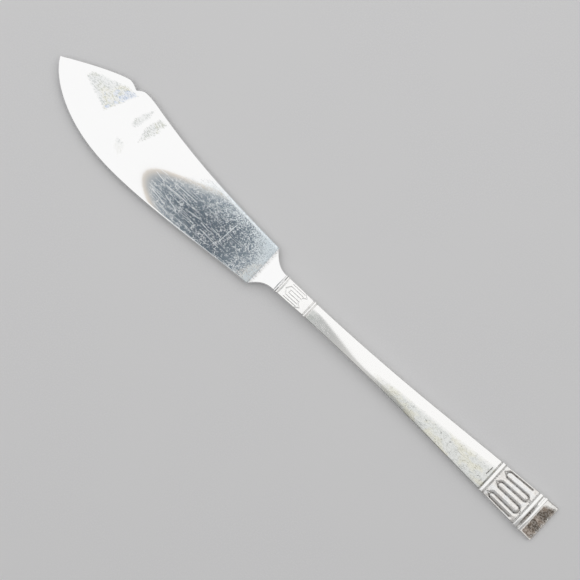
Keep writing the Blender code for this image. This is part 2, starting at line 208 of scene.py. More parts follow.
def round_ring(front_values, under_count):
    """Values for every point of a ring: the front's own, carried round both sides and gone underneath."""
    sides = np.linspace(1, 0, 2 * CORNER_STEPS)
    return np.concatenate(
        [front_values, front_values[-1] * sides, np.zeros(under_count), front_values[0] * sides[::-1]]
    )


def boxed(ring, x, half_y, half_z):
    """The points of a ring moved straight in or out to a rectangle round the axis, at another x."""
    offset = ring[:, 1:] - (AXIS_Y, AXIS_Z)
    reach = np.max(np.abs(offset) / (half_y, half_z), axis=1)
    return np.column_stack([np.full(len(ring), x), (AXIS_Y, AXIS_Z) + offset / reach[:, None]])


def skin(name, rings, point_values):
    """A closed mesh over the rings, with each named value stored on its points."""
    rings = np.array(rings)
    index = np.arange(rings.shape[0] * rings.shape[1]).reshape(rings.shape[:2])
    near, far = index[:-1], index[1:]
    quads = np.stack([near, np.roll(near, -1, 1), np.roll(far, -1, 1), far], axis=-1).reshape(-1, 4)
    mesh = bpy.data.meshes.new(name)
    mesh.from_pydata(rings.reshape(-1, 3).tolist(), [], quads.tolist() + index[[0, -1]].tolist())
    shell = bmesh.new()
    shell.from_mesh(mesh)
    bmesh.ops.recalc_face_normals(shell, faces=shell.faces)
    shell.to_mesh(mesh)
    shell.free()
    for value_name, values in point_values.items():
        layer = mesh.attributes.new(value_name, "FLOAT", "POINT")
        layer.data.foreach_set("value", np.concatenate(values).astype(np.float32))
    mesh.shade_smooth()
    mesh.set_sharp_from_angle(angle=SMOOTH_ANGLE)
    piece = bpy.data.objects.new(name, mesh)
    bpy.context.scene.collection.objects.link(piece)
    print(f"{name}: {len(mesh.vertices)} points, {len(mesh.polygons)} faces")
    return piece


# %% [markdown]
# ## Falls and distances
# Grooves, dents and one deep scratch fade out beside a line or round a point. They could be painted as bump,
# but in the mesh they hold from every side. Two functions do it: one measures the distance from a set of
# lines, the other turns a distance into a soft fall from 1 to 0.

# %% Soft falls from lines
def softened(distance, reach):
    """1 at no distance, falling smoothly to 0 at the reach."""
    return 0.5 + 0.5 * np.cos(math.pi * np.clip(np.abs(distance) / reach, 0, 1))


def distance_to(lines, along, across):
    """Distance from each point of a front to the nearest of the lines."""
    nearest = np.full(np.broadcast(along, across).shape, np.inf)
    for line in lines:
        for (a0, b0), (a1, b1) in zip(line, line[1:]):
            da, db = a1 - a0, b1 - b0
            t = np.clip(((along - a0) * da + (across - b0) * db) / (da * da + db * db), 0, 1)
            nearest = np.minimum(nearest, np.hypot(along - a0 - t * da, across - b0 - t * db))
    return nearest


# %% [markdown]
# ## The blade and its shoulder
# The blade is rolled sheet, a little crowned, so that it mirrors a broad piece of the room. The crown
# belongs to the sheet and not to the outline: the notch is cut out of it afterwards, so the reflection
# runs past it undisturbed. Polishing rolls the front over a little at the back and at the edge, which
# draws a bright rim along both. The shoulder slopes from the thick neck down to the blade and meets it in a
# crisp crease. Stations close to the crease keep it crisp under smooth shading. One long scratch crosses
# the heel, and has stations of its own.

# %% Stations along the blade, and its outline there
NECK_WIDTH = 5.5 * MM
SHOULDER_SLOPE_AT_HEEL = 1.4
SEAM_LINE = 0.1 * MM
REED_RISE = 0.2 * MM
REED_SIDE_SHARE = 0.6
REED_FLATNESS = 8
BLADE_REED_WIDTH = 0.4 * MM
TIP_ROUNDING = 0.3 * MM
TIP_LEAST_SHARE = 0.05
CREASE = 0.05 * MM
SCRATCH_LINE = [(19.75 * MM, -3.45 * MM), (20.4 * MM, 3.1 * MM)]
SCRATCH_REACH = 0.09 * MM

# Steps between stations, shortest where the shape turns most.
REED_STEP = 0.025 * MM
SHOULDER_STEP = 0.2 * MM
SHEET_STEP = 0.5 * MM
SCRATCH_STEP = 0.04 * MM
NOTCH_STEP = 0.15 * MM
TIP_STATIONS = 24

blade_face = SEAM_LINE / 2
shoulder_start = JOINT_GAP / 2 + BLADE_REED_WIDTH
blade_end = SHOULDER_LENGTH + BLADE_LENGTH - TIP_FLAT
tip_turns = np.linspace(0, math.pi / 2, TIP_STATIONS)
blade_stations = merged(
    [
        run(blade_face, shoulder_start, REED_STEP),
        run(shoulder_start, SHOULDER_LENGTH - CREASE, SHOULDER_STEP),
        [SHOULDER_LENGTH, SHOULDER_LENGTH + CREASE],
        run(SHOULDER_LENGTH + CREASE, blade_end - TIP_HEIGHT, SHEET_STEP),
        run(SCRATCH_LINE[0][0] - SCRATCH_REACH, SCRATCH_LINE[1][0] + SCRATCH_REACH, SCRATCH_STEP),
        SHOULDER_LENGTH + run(HUMP_START, NOSE_AT, NOTCH_STEP),
        blade_end - TIP_HEIGHT * (1 - np.sin(tip_turns)),
        blade_end - TIP_ROUNDING * (1 - np.sin(tip_turns[::3])),
    ]
)

blade_along = np.maximum(0, blade_stations - SHOULDER_LENGTH)
on_blade = blade_stations >= SHOULDER_LENGTH
shoulder_share = rising(blade_stations, shoulder_start, SHOULDER_LENGTH)
off_reed = np.abs(blade_stations - mixed(blade_face, shoulder_start, 0.5)) / (BLADE_REED_WIDTH / 2)
reed = REED_RISE * np.clip(1 - off_reed**REED_FLATNESS, 0, 1)


def shoulder_line(heel):
    """Half width of the shoulder on one side, from the neck to its height at the heel."""
    knots = [(shoulder_start, NECK_WIDTH / 2, 0, 0), (SHOULDER_LENGTH, heel, SHOULDER_SLOPE_AT_HEEL, 0)]
    return smooth_line(knots, blade_stations) + reed * REED_SIDE_SHARE


back = np.where(on_blade, back_line(blade_along), shoulder_line(HEEL_BACK))
edge = np.where(on_blade, edge_line(blade_along), shoulder_line(HEEL_EDGE))
in_point = rising(blade_stations, blade_end - TIP_ROUNDING, blade_end)
blade_middle = (edge - back) / 2
blade_reach = (edge + back) / 2 * np.maximum(np.sqrt(1 - in_point**2), TIP_LEAST_SHARE)
print(f"blade: {len(blade_stations)} stations, {2 * blade_reach.max() / MM:.1f} mm wide")

# %% [markdown]
# ## The two faces of the blade
# The front of the sheet is part of a very large cylinder, whose top line drifts a little towards the back on
# the way to the tip. The reflection depends on nothing else so much. Sculpting could hardly hold such a
# curve, so each point gets its height from its distance to that line.

# %% Heights of the two faces
HEEL_THICKNESS = 1.6 * MM
TIP_THICKNESS = 0.9 * MM
SHEET_RADIUS = 260 * MM
CROWN_LINE_AT_TIP = -3.0 * MM
BLADE_ROUNDING = 0.32 * MM
NECK_CROWN = 0.1 * MM
NECK_ROUNDING = 0.3 * MM
BACK_ROLL = 1.0 * MM
EDGE_ROLL = 0.5 * MM
ROLL_DROP = 0.06 * MM
SCRATCH_DEPTH = 0.01 * MM
BLADE_ACROSS = 57
CROWDING = 0.6

half = np.where(
    on_blade,
    mixed(HEEL_THICKNESS, TIP_THICKNESS, blade_along / BLADE_LENGTH),
    mixed(NECK_THICKNESS, HEEL_THICKNESS, shoulder_share),
) / 2
roundings = mixed(NECK_ROUNDING, BLADE_ROUNDING, shoulder_share)
blade_corners = np.array([corner_for(*sizes) for sizes in zip(roundings, 2 * half, 2 * blade_reach)])

# Points across the front crowd towards its sides, where it rolls over.
even = np.linspace(-1, 1, BLADE_ACROSS)
crowded = mixed(even, np.sin(even * math.pi / 2), CROWDING)
blade_across = blade_middle[:, None] + (blade_reach - blade_corners)[:, None] * crowded

crown_line = (CROWN_LINE_AT_TIP * blade_along / BLADE_LENGTH)[:, None]
sheet_drop = (blade_across - crown_line) ** 2 / (2 * SHEET_RADIUS)
neck_drop = NECK_CROWN * (blade_across / blade_reach[:, None]) ** 2
back_roll = rising(blade_across + back[:, None], BACK_ROLL, 0) ** 2
edge_roll = rising(edge[:, None] - blade_across, EDGE_ROLL, 0) ** 2
on_sheet = shoulder_share[:, None]
scratch = softened(distance_to([SCRATCH_LINE], blade_stations[:, None], blade_across), SCRATCH_REACH)

blade_front = AXIS_Z + (half + reed)[:, None] - mixed(neck_drop, sheet_drop, on_sheet)
blade_front -= ROLL_DROP * (back_roll + edge_roll) * on_blade[:, None] + SCRATCH_DEPTH * scratch
blade_under = AXIS_Z - half[:, None] + mixed(0, sheet_drop, on_sheet)
print(f"crown of the blade: {sheet_drop.max() / MM:.2f} mm at most")

# %% [markdown]
# ## Where the blade is worn
# Plate does not age evenly. Four values are stored on the points of each mesh, from 0 to 1: the first for
# where polish never reaches and oxide stays dark, and on the blade also for painted shade at the crease,
# `film`, how thick a tarnish lies there, `cover`, how much of the silver it hides, and `rub`, where years of
# wiping have dulled the mirror. The materials read them.
# On the blade, thin films lie across the face below the notch, and a faint one warms a corner of the heel.
# Vertex paint by hand would do too, but an outline of a few corners with a soft edge can be read and changed.

# %% Outlines on the blade
FILM_OUTLINES = [
    # thickness of the film, then its corners as distance from the heel and y, in millimetres
    (
        0.195,
        [(70.4, -6.1), (69.9, -7.8), (67.6, -9.0), (63.4, -10.1), (59.8, -11.2), (56.4, -11.2), (60.7, -2.4)],
    ),
    (0.27, [(64.4, -6.6), (62.8, -7.0), (62.3, -4.8), (64.0, -4.6)]),
    (0.36, [(62.4, -10.4), (59.8, -11.2), (56.4, -11.2), (60.5, -2.6), (61.6, -2.7), (61.9, -6.8)]),
    (
        0.18,
        [(50.3, -11.3), (51.4, -9.4), (52.7, -6.5), (52.5, -4.4), (51.3, -4.2), (50.5, -6.4), (50.0, -9.3)],
    ),
    (0.2, [(48.9, -6.4), (47.5, -10.5), (44.4, -10.8), (44.3, -9.4), (46.7, -5.6), (47.8, -2.0)]),
    (0.27, [(47.9, -1.8), (47.9, -4.6), (46.6, -8.2), (45.2, -8.0)]),
    (0.14, [(53.0, 0.8), (50.6, 0.8), (49.3, 3.2), (50.0, 4.0), (51.8, 3.5)]),
    (0.06, [(5.0, 7.0), (0.0, 7.0), (0.0, -1.0), (3.2, 2.0)]),
]
RUBBED_OUTLINE = [
    # corners as distance from the heel and y, in millimetres
    (-5, -12), (25.5, -9), (36.5, -0.5), (38.6, 2.2), (38.8, 4.5), (36, 7), (31, 9), (20, 12), (-5, 12)
]
FILM_EDGE = 0.7 * MM
FILM_BLEND = 1.3 * MM


def inside_of(corners, along, across):
    """Distance inward from the nearest side of an outline that bulges everywhere, negative outside."""
    inward = np.full(np.broadcast(along, across).shape, np.inf)
    pairs = list(zip(corners, corners[1:] + corners[:1]))
    turning = math.copysign(1, sum(a1 * b0 - a0 * b1 for (a0, b0), (a1, b1) in pairs))
    for (a0, b0), (a1, b1) in pairs:
        length = math.hypot(a1 - a0, b1 - b0)
        side = ((along / MM - a0) * (b1 - b0) - (across / MM - b0) * (a1 - a0)) / length
        inward = np.minimum(inward, side * turning)
    return inward * MM


def film_at(along, across):
    """Thickness of the film on the blade and how far it covers: soft patches, later ones on top."""
    thickness = np.zeros(across.shape)
    cover = np.zeros(across.shape)
    for thick, corners in FILM_OUTLINES:
        inward = inside_of(corners, along, across)
        share = rising(inward, -FILM_BLEND / 2, FILM_BLEND / 2)
        thickness = np.where(cover > 0, mixed(thickness, thick, share), thick)
        cover = np.maximum(cover, rising(inward, -FILM_EDGE / 2, FILM_EDGE / 2))
    return thickness, cover * (along > 0)


blade_film, blade_cover = film_at(blade_along[:, None], blade_across)
print(f"{len(FILM_OUTLINES)} films on the blade")

# %% [markdown]
# ## Rub, oxide and painted shade on the blade
# The rub fills an outline on the heel half. It is strongest at the heel and along the back, and one corner
# of the heel is nearly white with it. A little oxide stays beside the reed at the seam, where a cloth can't
# reach.
# Both sides of the crease get painted shade, a darker colour where the slope turns. Each is a sum of soft
# falls, which is easier to tune than paint.

# %% Wear of the blade
RUB_FADE = 2 * MM
RUB_ALL_OVER = 0.24
RUB_AT_HEEL = 0.5
RUB_AT_CORNER = 0.4
RUB_AT_BACK = (0.05, 0.58)

# Where each of these has gone and where it is full, along the blade or as a share across it.
HEEL_RUB = (9 * MM, 0)
HAZY_BACK = (27 * MM, 17 * MM)
PALE_HEEL = (4.2 * MM, 1.8 * MM)
PALE_SIDE = (-0.35, 0.65)

# Painted shade on both sides of the crease, and oxide beside the seam's reed: how dark, and how far they reach.
CREASE_SHADE_AND_SEAM_OXIDE = 0.2
CREASE_REACH = 0.5 * MM
SEAM_REACH = 0.15 * MM
SHOULDER_PAINTED_SHADE = 0.36
SHOULDER_REACH = 1.2 * MM

sideways = (blade_across - blade_middle[:, None]) / blade_reach[:, None]
near_heel = rising(blade_along, *HEEL_RUB)[:, None]
back_share = mixed(*RUB_AT_BACK, rising(blade_along, *HAZY_BACK)[:, None])
pale_corner = rising(blade_along, *PALE_HEEL)[:, None] * rising(sideways, *PALE_SIDE)
rubbed_inward = inside_of(RUBBED_OUTLINE, blade_along[:, None], blade_across)
rubbed_part = rising(rubbed_inward, 0, RUB_FADE) * on_blade[:, None]
blade_rub = RUB_ALL_OVER + RUB_AT_HEEL * near_heel + back_share * rising(sideways, 0, -1)
blade_rub = (blade_rub + RUB_AT_CORNER * pale_corner) * rubbed_part

# Painted shade: the colour darkens on both sides of the crease, where the shoulder turns into the blade. Beside
# the reed at the seam it is oxide.
blade_shade_and_oxide = CREASE_SHADE_AND_SEAM_OXIDE * softened(blade_along, CREASE_REACH) * on_blade
blade_shade_and_oxide += CREASE_SHADE_AND_SEAM_OXIDE * softened(blade_stations - shoulder_start, SEAM_REACH)
blade_shade_and_oxide += SHOULDER_PAINTED_SHADE * softened(blade_stations - SHOULDER_LENGTH, SHOULDER_REACH) * ~on_blade
blade_wear = {
    "oxide_and_shade": np.broadcast_to(blade_shade_and_oxide[:, None], blade_across.shape),
    "film": blade_film,
    "cover": blade_cover,
    "rub": np.clip(blade_rub, 0, 1),
}
print(f"blade rubbed over {np.mean(blade_rub > 0):.0%} of its points")

# %% [markdown]
# ## The tang
# Out of sight, a flat tang runs back from the shoulder into the handle. It starts as the first ring of the
# blade, drawn in to a rectangle, so blade, shoulder and tang are one closed skin, as they are one piece of
# metal. A separate box joined by a Boolean would do, but it would cut up the clean rings.

# %% Skin the blade
TANG_LENGTH = 20.0 * MM
TANG_HALF = ((solder_high.y - solder_low.y) / 2, (solder_high.z - solder_low.z) / 2)
TANG_BEVEL = 0.2 * MM


def faces_to_rings(x, across, front, under_across, under, corners):
    """One ring for each station, from the points of its front and, in the same direction, its underside."""
    rings = []
    for row, place in enumerate(x):
        front_points = np.column_stack([AXIS_Y + across[row], front[row]])
        under_points = np.column_stack([AXIS_Y + under_across[row], under[row]])[::-1]
        rings.append(ring_of(place, front_points, under_points, corners[row]))
    return rings


def wear_on_rings(wear, under_count, hidden_rings):
    """The wear of a front as values for every point of its skin, with none on the rings inside the joint."""
    values = {}
    for name, rows in wear.items():
        shown = [round_ring(row, under_count) for row in rows]
        values[name] = [np.zeros(len(shown[0]))] * hidden_rings + shown
    return values


blade_rings = faces_to_rings(
    SEAM_X + blade_stations, blade_across, blade_front, blade_across, blade_under, blade_corners
)
tang_rings = [
    boxed(blade_rings[0], SEAM_X - TANG_LENGTH, TANG_HALF[0] - TANG_BEVEL, TANG_HALF[1] - TANG_BEVEL),
    boxed(blade_rings[0], SEAM_X - TANG_LENGTH + TANG_BEVEL, *TANG_HALF),
    boxed(blade_rings[0], SEAM_X + blade_face, *TANG_HALF),
]
blade_values = wear_on_rings(blade_wear, BLADE_ACROSS, len(tang_rings))
blade_piece = skin("blade_plate", tang_rings + blade_rings, blade_values)

# %% [markdown]
# ## The outline of the handle
# The handle is narrowest a little behind the neck and flares to its square end. It is thickest at the
# neck, eases down towards the end, and slopes to a thin rim over the last few millimetres. Reeds and
# grooves cross it in two groups, one at the neck and one at the end, and frame a panel between them. They
# are one list of places, widths and rises, so that the mesh, its stations and its wear all read the same.

# %% Widths, heights and bands of the handle
WAIST_WIDTH = 5.1 * MM
WAIST_AT = 14.0 * MM
END_WIDTH = 12.1 * MM
END_THICKNESS = 2.3 * MM
RIM_THICKNESS = 1.1 * MM
SLOPE_LENGTH = 4.3 * MM
FLARE_SHARE_HALFWAY = 0.35
FLARE_SLOPE_HALFWAY = 0.060
FLARE_SLOPE_AT_END = 0.047
GROOVE = 0.4 * MM
SEAM_REED = 0.6 * MM
NECK_PANEL = 8.8 * MM
NECK_REED = 0.7 * MM
END_PANEL = 11.2 * MM
END_REED = 1.2 * MM
END_GROOVE = 0.7 * MM
LAST_REED = 0.9 * MM
GROOVE_DEPTH = 0.2 * MM

slope_at = HANDLE_LENGTH - SLOPE_LENGTH
last_reed_at = slope_at - LAST_REED
end_groove_at = last_reed_at - END_GROOVE
second_reed_at = end_groove_at - END_REED
end_panel_at = second_reed_at - GROOVE - END_PANEL
first_reed_at = end_panel_at - GROOVE - END_REED
neck_panel_at = JOINT_GAP / 2 + SEAM_REED
neck_reed_at = neck_panel_at + NECK_PANEL + GROOVE
flare_at = (WAIST_AT + HANDLE_LENGTH) / 2
handle_face = SEAM_LINE / 2

BANDS = [
    # distance from the seam, width, rise
    (handle_face, SEAM_REED, REED_RISE),
    (neck_panel_at - GROOVE / 4, GROOVE / 2, -GROOVE_DEPTH / 2),
    (neck_reed_at - GROOVE, GROOVE, -GROOVE_DEPTH),
    (neck_reed_at, NECK_REED, REED_RISE),
    (neck_reed_at + NECK_REED, GROOVE, -GROOVE_DEPTH),
    (first_reed_at - GROOVE, GROOVE, -GROOVE_DEPTH),
    (first_reed_at, END_REED, REED_RISE),
    (first_reed_at + END_REED, GROOVE, -GROOVE_DEPTH),
    (second_reed_at - GROOVE, GROOVE, -GROOVE_DEPTH),
    (second_reed_at, END_REED, REED_RISE),
    (end_groove_at, END_GROOVE, -GROOVE_DEPTH),
    (last_reed_at, LAST_REED, REED_RISE),
]
halfway_width = mixed(WAIST_WIDTH, END_WIDTH, FLARE_SHARE_HALFWAY)
WIDTH_KNOTS = [
    # distance from the seam, half width, slope before, slope after
    (0, NECK_WIDTH / 2, 0, 0),
    (WAIST_AT, WAIST_WIDTH / 2, 0, 0),
    (flare_at, halfway_width / 2, FLARE_SLOPE_HALFWAY, FLARE_SLOPE_HALFWAY),
    (HANDLE_LENGTH, END_WIDTH / 2, FLARE_SLOPE_AT_END, FLARE_SLOPE_AT_END),
]


def half_width(distance):
    """Half the width of the handle, without its bands."""
    return smooth_line(WIDTH_KNOTS, distance)


def front_height(distance):
    """Height of the handle's front on its middle line, before the ornament."""
    ease = (1 - np.cos(math.pi * distance / HANDLE_LENGTH)) / 2
    past_slope = np.maximum(0, distance - slope_at) / SLOPE_LENGTH
    return mixed(NECK_THICKNESS, END_THICKNESS, ease) - past_slope * (END_THICKNESS - RIM_THICKNESS)


def band_rise(distance):
    """Rise of the reeds and fall of the grooves across the handle."""
    rise = np.zeros_like(distance)
    for start, width, height in BANDS:
        inside = (distance > start) & (distance < start + width)
        off_centre = np.abs(2 * (distance[inside] - start) / width - 1)
        rise[inside] = height * (1 - off_centre ** (REED_FLATNESS if height > 0 else 2))
    return rise


print(f"end panel from {end_panel_at / MM:.1f} to {(end_panel_at + END_PANEL) / MM:.1f} mm behind the seam")

# %% [markdown]
# ## The ornament
# The panel at the end holds a meander: one groove that runs up and down, with a round turn at the end of
# each run and a pointed arch outside each turn. Between its runs the metal swells into ribs. The panel
# at the neck repeats the idea with finer lines: a pointed arch round a slot, and a chevron at either side.
# A die would strike these in one blow. Here each line is a list of points, and the depth of the front
# depends on the distance to the nearest line, which gives soft lips and round bottoms like struck metal.

# %% Lines of the ornament
END_LANES = (-0.86, -0.49, -0.155, 0.19, 0.58, 0.87)
RUNS_START = end_panel_at + 2.3 * MM
RUNS_END = end_panel_at + END_PANEL - 1.6 * MM
ARCH_REACH = 1.8 * MM
BEND_STEPS = 12
NECK_START = neck_panel_at + 1.8 * MM
NECK_END = neck_panel_at + NECK_PANEL - 2.7 * MM
NECK_TIP = NECK_START - 0.9 * MM
SLOT_END = NECK_START + 0.5 * MM
CHEVRON_END = NECK_END + 1.1 * MM
SLOT_SHARE = 0.17
ARCH_SHARE = 0.48
SIDE_SHARE = 0.75
CHEVRON_SHARES = (0.32, 0.60, 0.88)


def on_handle(points):
    """Points of (distance from the seam, share of the half width) as distances in metres."""
    return np.array([(distance, across * float(half_width(distance))) for distance, across in points])


def end_meander():
    """The meander's one long line, and the pointed arches outside its turns."""
    line = [(RUNS_END, END_LANES[0])]
    arches = []
    for number, (lane, after) in enumerate(zip(END_LANES, END_LANES[1:])):
        bend_at, outward = (RUNS_START, -1) if number % 2 == 0 else (RUNS_END, 1)
        middle, apart = (lane + after) / 2, (after - lane) / 2
        for turn in np.linspace(-math.pi / 2, math.pi / 2, BEND_STEPS):
            reach = outward * apart * float(half_width(bend_at)) * math.cos(turn)
            line.append((bend_at + reach, middle + apart * math.sin(turn)))
        arches.append([(bend_at, lane), (bend_at + outward * ARCH_REACH, middle), (bend_at, after)])
    line.append((RUNS_END, END_LANES[-1]))
    return [on_handle(line)], [on_handle(arch) for arch in arches]


def neck_lines():
    """A pointed arch round a slot, a line along each side, and a chevron at the far end of each."""
    arch = [(NECK_END, ARCH_SHARE), (NECK_START, ARCH_SHARE), (NECK_TIP, 0)]
    arch += [(NECK_START, -ARCH_SHARE), (NECK_END, -ARCH_SHARE)]
    slot = [(NECK_END, SLOT_SHARE), (SLOT_END, SLOT_SHARE), (SLOT_END, -SLOT_SHARE), (NECK_END, -SLOT_SHARE)]
    lines = [arch, slot]
    inner, point, outer = CHEVRON_SHARES
    for side in (-1, 1):
        lines.append([(NECK_START, side * SIDE_SHARE), (NECK_END, side * SIDE_SHARE)])
        lines.append([(NECK_END, side * inner), (CHEVRON_END, side * point), (NECK_END, side * outer)])
    return [on_handle(line) for line in lines]


meander, arches = end_meander()
neck = neck_lines()
print(f"meander of {len(meander[0])} points, {len(arches)} arches, {len(neck)} lines at the neck")

# %% [markdown]
# ## The front of the handle as one height map
# Every point of the front gets a height. First come the long easing curve and the bands, then the crown,
# the ribs and the grooves of the two panels. Cutting the lines with Booleans would leave hundreds of slivers.
# A height map leaves none, as long as its stations are close together where the ornament is fine.

# %% Stations along the handle, and the grid of its front
HANDLE_ACROSS = 131
HANDLE_UNDER = 13
END_CORNER = 0.6 * MM
END_EDGE = 0.25 * MM
NICK_AT = 76.2 * MM
NICK_SPAN = (-1.9 * MM, 0.3 * MM)
NICK_LEAN = 0.2 * MM
NICK_REACH = 0.19 * MM

# Steps between stations, shortest where the ornament is finest.
BAND_STEPS = 16
PLAIN_STEP = 0.8 * MM
NECK_STEP = 0.07 * MM
PANEL_STEP = 0.08 * MM
NICK_STEP = 0.05 * MM
SLOPE_STEP = 0.2 * MM
END_STATIONS = 9

end_turns = np.linspace(0, math.pi / 2, END_STATIONS)
handle_stations = merged(
    [run(start, start + width, width / BAND_STEPS) for start, width, _ in BANDS]
    + [
        run(handle_face, slope_at, PLAIN_STEP),
        run(neck_panel_at, neck_panel_at + NECK_PANEL, NECK_STEP),
        run(end_panel_at, end_panel_at + END_PANEL, PANEL_STEP),
        run(NICK_AT - NICK_LEAN - NICK_REACH, NICK_AT + NICK_REACH, NICK_STEP),
        run(slope_at, HANDLE_LENGTH - END_CORNER, SLOPE_STEP),
        [slope_at + CREASE, slope_at + 2 * CREASE],
        HANDLE_LENGTH - END_CORNER * (1 - np.sin(end_turns)),
        HANDLE_LENGTH - END_EDGE * (1 - np.sin(end_turns)),
    ]
)
bands = band_rise(handle_stations)
in_corner = rising(handle_stations, HANDLE_LENGTH - END_CORNER, HANDLE_LENGTH)
in_edge = rising(handle_stations, HANDLE_LENGTH - END_EDGE, HANDLE_LENGTH)
narrowing = END_CORNER * (1 - np.sqrt(1 - in_corner**2))
edge_drop = END_EDGE * (1 - np.sqrt(1 - in_edge**2))
reach = half_width(handle_stations) + bands * REED_SIDE_SHARE - narrowing
plain_front = front_height(handle_stations) + bands - edge_drop
walls = plain_front - edge_drop
handle_corners = np.array([corner_for(NECK_ROUNDING, wall, 2 * side) for wall, side in zip(walls, reach)])
shares = np.linspace(-1, 1, HANDLE_ACROSS)
across = (reach - handle_corners)[:, None] * shares
along = np.broadcast_to(handle_stations[:, None], across.shape)
print(f"front of the handle: {across.shape[0]} by {across.shape[1]} points")

# %% [markdown]
# ## Depth of the two panels
# The distance from the nearest line gives the depth of a groove and, further off, the swell of a rib. The
# same falls say how far down a point lies, and so how much oxide has stayed there. A displacement texture
# could do this at render time, but then the mesh itself would stay plain.

# %% Depth of the ornament
HANDLE_CROWN = 0.1 * MM
END_GROOVE_REACH = 0.26 * MM
END_DEPTH = 0.16 * MM
ARCH_GROOVE_REACH = 0.24 * MM
ARCH_DEPTH = 0.1 * MM
NECK_GROOVE_REACH = 0.16 * MM
NECK_DEPTH = 0.05 * MM
RIB_HALF = 0.95 * MM
RIB_SWELL = 0.09 * MM

in_panel = (along > end_panel_at) & (along < end_panel_at + END_PANEL)
from_meander = distance_to(meander, along, across)
end_grooves = softened(from_meander, END_GROOVE_REACH) * in_panel
arch_grooves = softened(distance_to(arches, along, across), ARCH_GROOVE_REACH) * in_panel
neck_grooves = softened(distance_to(neck, along, across), NECK_GROOVE_REACH)
rib_share = rising(from_meander, 0, RIB_HALF)
into_panel = np.minimum(along - end_panel_at, end_panel_at + END_PANEL - along)
ribs = RIB_SWELL * (2 * rib_share - rib_share**2 - 1) * rising(into_panel, 0, RIB_HALF)
grooves = np.maximum(END_DEPTH * end_grooves, ARCH_DEPTH * arch_grooves) + NECK_DEPTH * neck_grooves
front_z = plain_front[:, None] - HANDLE_CROWN * shares**2 + ribs - grooves
print(f"deepest line of the ornament: {grooves.max() / MM:.2f} mm")

# %% [markdown]
# ## Marks of use
# Use has changed the struck shape here and there: an old nick before the first band of the end, small dents
# in the rim of the slope, and a last groove that is worn shallow towards the back. They are placed one by one
# and go into the same heights.

# %% Nick, dents and the shallow groove
NICK_DEPTH = 0.07 * MM
DENT_REACH = 0.45 * MM
DENT_DEPTH = 0.09 * MM
SHALLOW_SIDE = (-0.2, -0.55)
SHALLOW_MOST = 0.85
RIM_DENTS = [
    # distance from the end and y, in millimetres
    (0.9, -4.8), (0.6, -1.8), (0.7, 0.65), (0.4, 1.7), (0.6, 2.9), (0.9, 4.6)
]

nick_line = [np.array([(NICK_AT, NICK_SPAN[0]), (NICK_AT - NICK_LEAN, NICK_SPAN[1])])]
nick = softened(distance_to(nick_line, along, across), NICK_REACH)
dents = np.zeros(across.shape)
for before_end, off_axis in RIM_DENTS:
    away = np.hypot(HANDLE_LENGTH - before_end * MM - along, across - off_axis * MM)
    dents = np.maximum(dents, softened(away, DENT_REACH))
in_last_groove = (along > end_groove_at) & (along < last_reed_at)
shallow = SHALLOW_MOST * rising(shares, *SHALLOW_SIDE) * in_last_groove
front_z = front_z - NICK_DEPTH * nick - DENT_DEPTH * dents - shallow * bands[:, None]
print(f"one nick and {len(RIM_DENTS)} dents")

# %% [markdown]
# ## Where the handle is worn
# Oxide sits in the grooves and, as a brown film, on the slope at the end and in the last groove, where a
# thumb never rubs. A wedge at the back corner of the slope, its dents and most of its rim have stayed bright.
# From a third of the way along, the half towards the cutting edge has gone hazy, and the haze widens towards
# the end. Just behind the band at the neck the metal is dull, and a grey film starts there and soon fades.

# %% Oxide, haze and films of the handle
# How much oxide each kind of groove holds. The bands have two values, for the neck and for the end.
MEANDER_OXIDE = 0.8
ARCH_OXIDE = 0.3
NECK_OXIDE = 0.22
LAST_OXIDE = 0.3
BAND_OXIDES = (0.12, 0.5)
LAST_FILM_REACH = 0.6 * MM
LAST_FILM_MIDDLE = 0.25
LAST_FILM_SPREAD = 0.95

# The haze reaches across from the edge to a share of the half width, which moves with each metre along.
HAZE_FROM = 34 * MM
HAZE_FULL = 43 * MM
HAZE_SIDE = 0.15
HAZE_WIDENING = -14.0
HAZE_EDGE = 0.4

NECK_PATCH_AT = 13 * MM
NECK_PATCH_REACH = 9 * MM
NECK_PATCH_SIDE = (-1 / 6, 2 / 3)
NECK_FILM_ALONG = (15.5 * MM, 12.5 * MM)
NECK_FILM_SIDE = (-0.45, -0.05)

SLOPE_FADE = 0.5 * MM
# The wedge's width at the top of the slope and at the end, in half widths of the handle.
BRIGHT_WEDGE = (0.32, 0.1)
WEDGE_FADE = 0.1
EDGE_RIM = 0.08
CLEAN_RIM = 0.9 * MM
RIM_COVER = 0.35

band_oxide = rising(bands, 0, -GROOVE_DEPTH)[:, None] * mixed(*BAND_OXIDES, along > flare_at) * (1 - shallow)
last_film = softened(along - end_groove_at - END_GROOVE / 2, LAST_FILM_REACH)
last_film = last_film * softened(shares - LAST_FILM_MIDDLE, LAST_FILM_SPREAD)
oxide_and_shade = MEANDER_OXIDE * end_grooves**2 + ARCH_OXIDE * arch_grooves + NECK_OXIDE * neck_grooves
oxide_and_shade = oxide_and_shade + nick + band_oxide + LAST_OXIDE * last_film

haze_side = HAZE_SIDE + HAZE_WIDENING * (along - HAZE_FROM)
hazy = rising(along, HAZE_FROM, HAZE_FULL) * (along < first_reed_at)
hazy = hazy * rising(shares - haze_side, -HAZE_EDGE / 2, HAZE_EDGE / 2)

neck_dull = softened(along - NECK_PATCH_AT, NECK_PATCH_REACH) * rising(shares, *NECK_PATCH_SIDE)
neck_dull = neck_dull * (along > neck_reed_at + NECK_REED)
neck_film = rising(along, *NECK_FILM_ALONG) * rising(shares, *NECK_FILM_SIDE)
neck_film = neck_film * (along > neck_reed_at + NECK_REED + GROOVE)

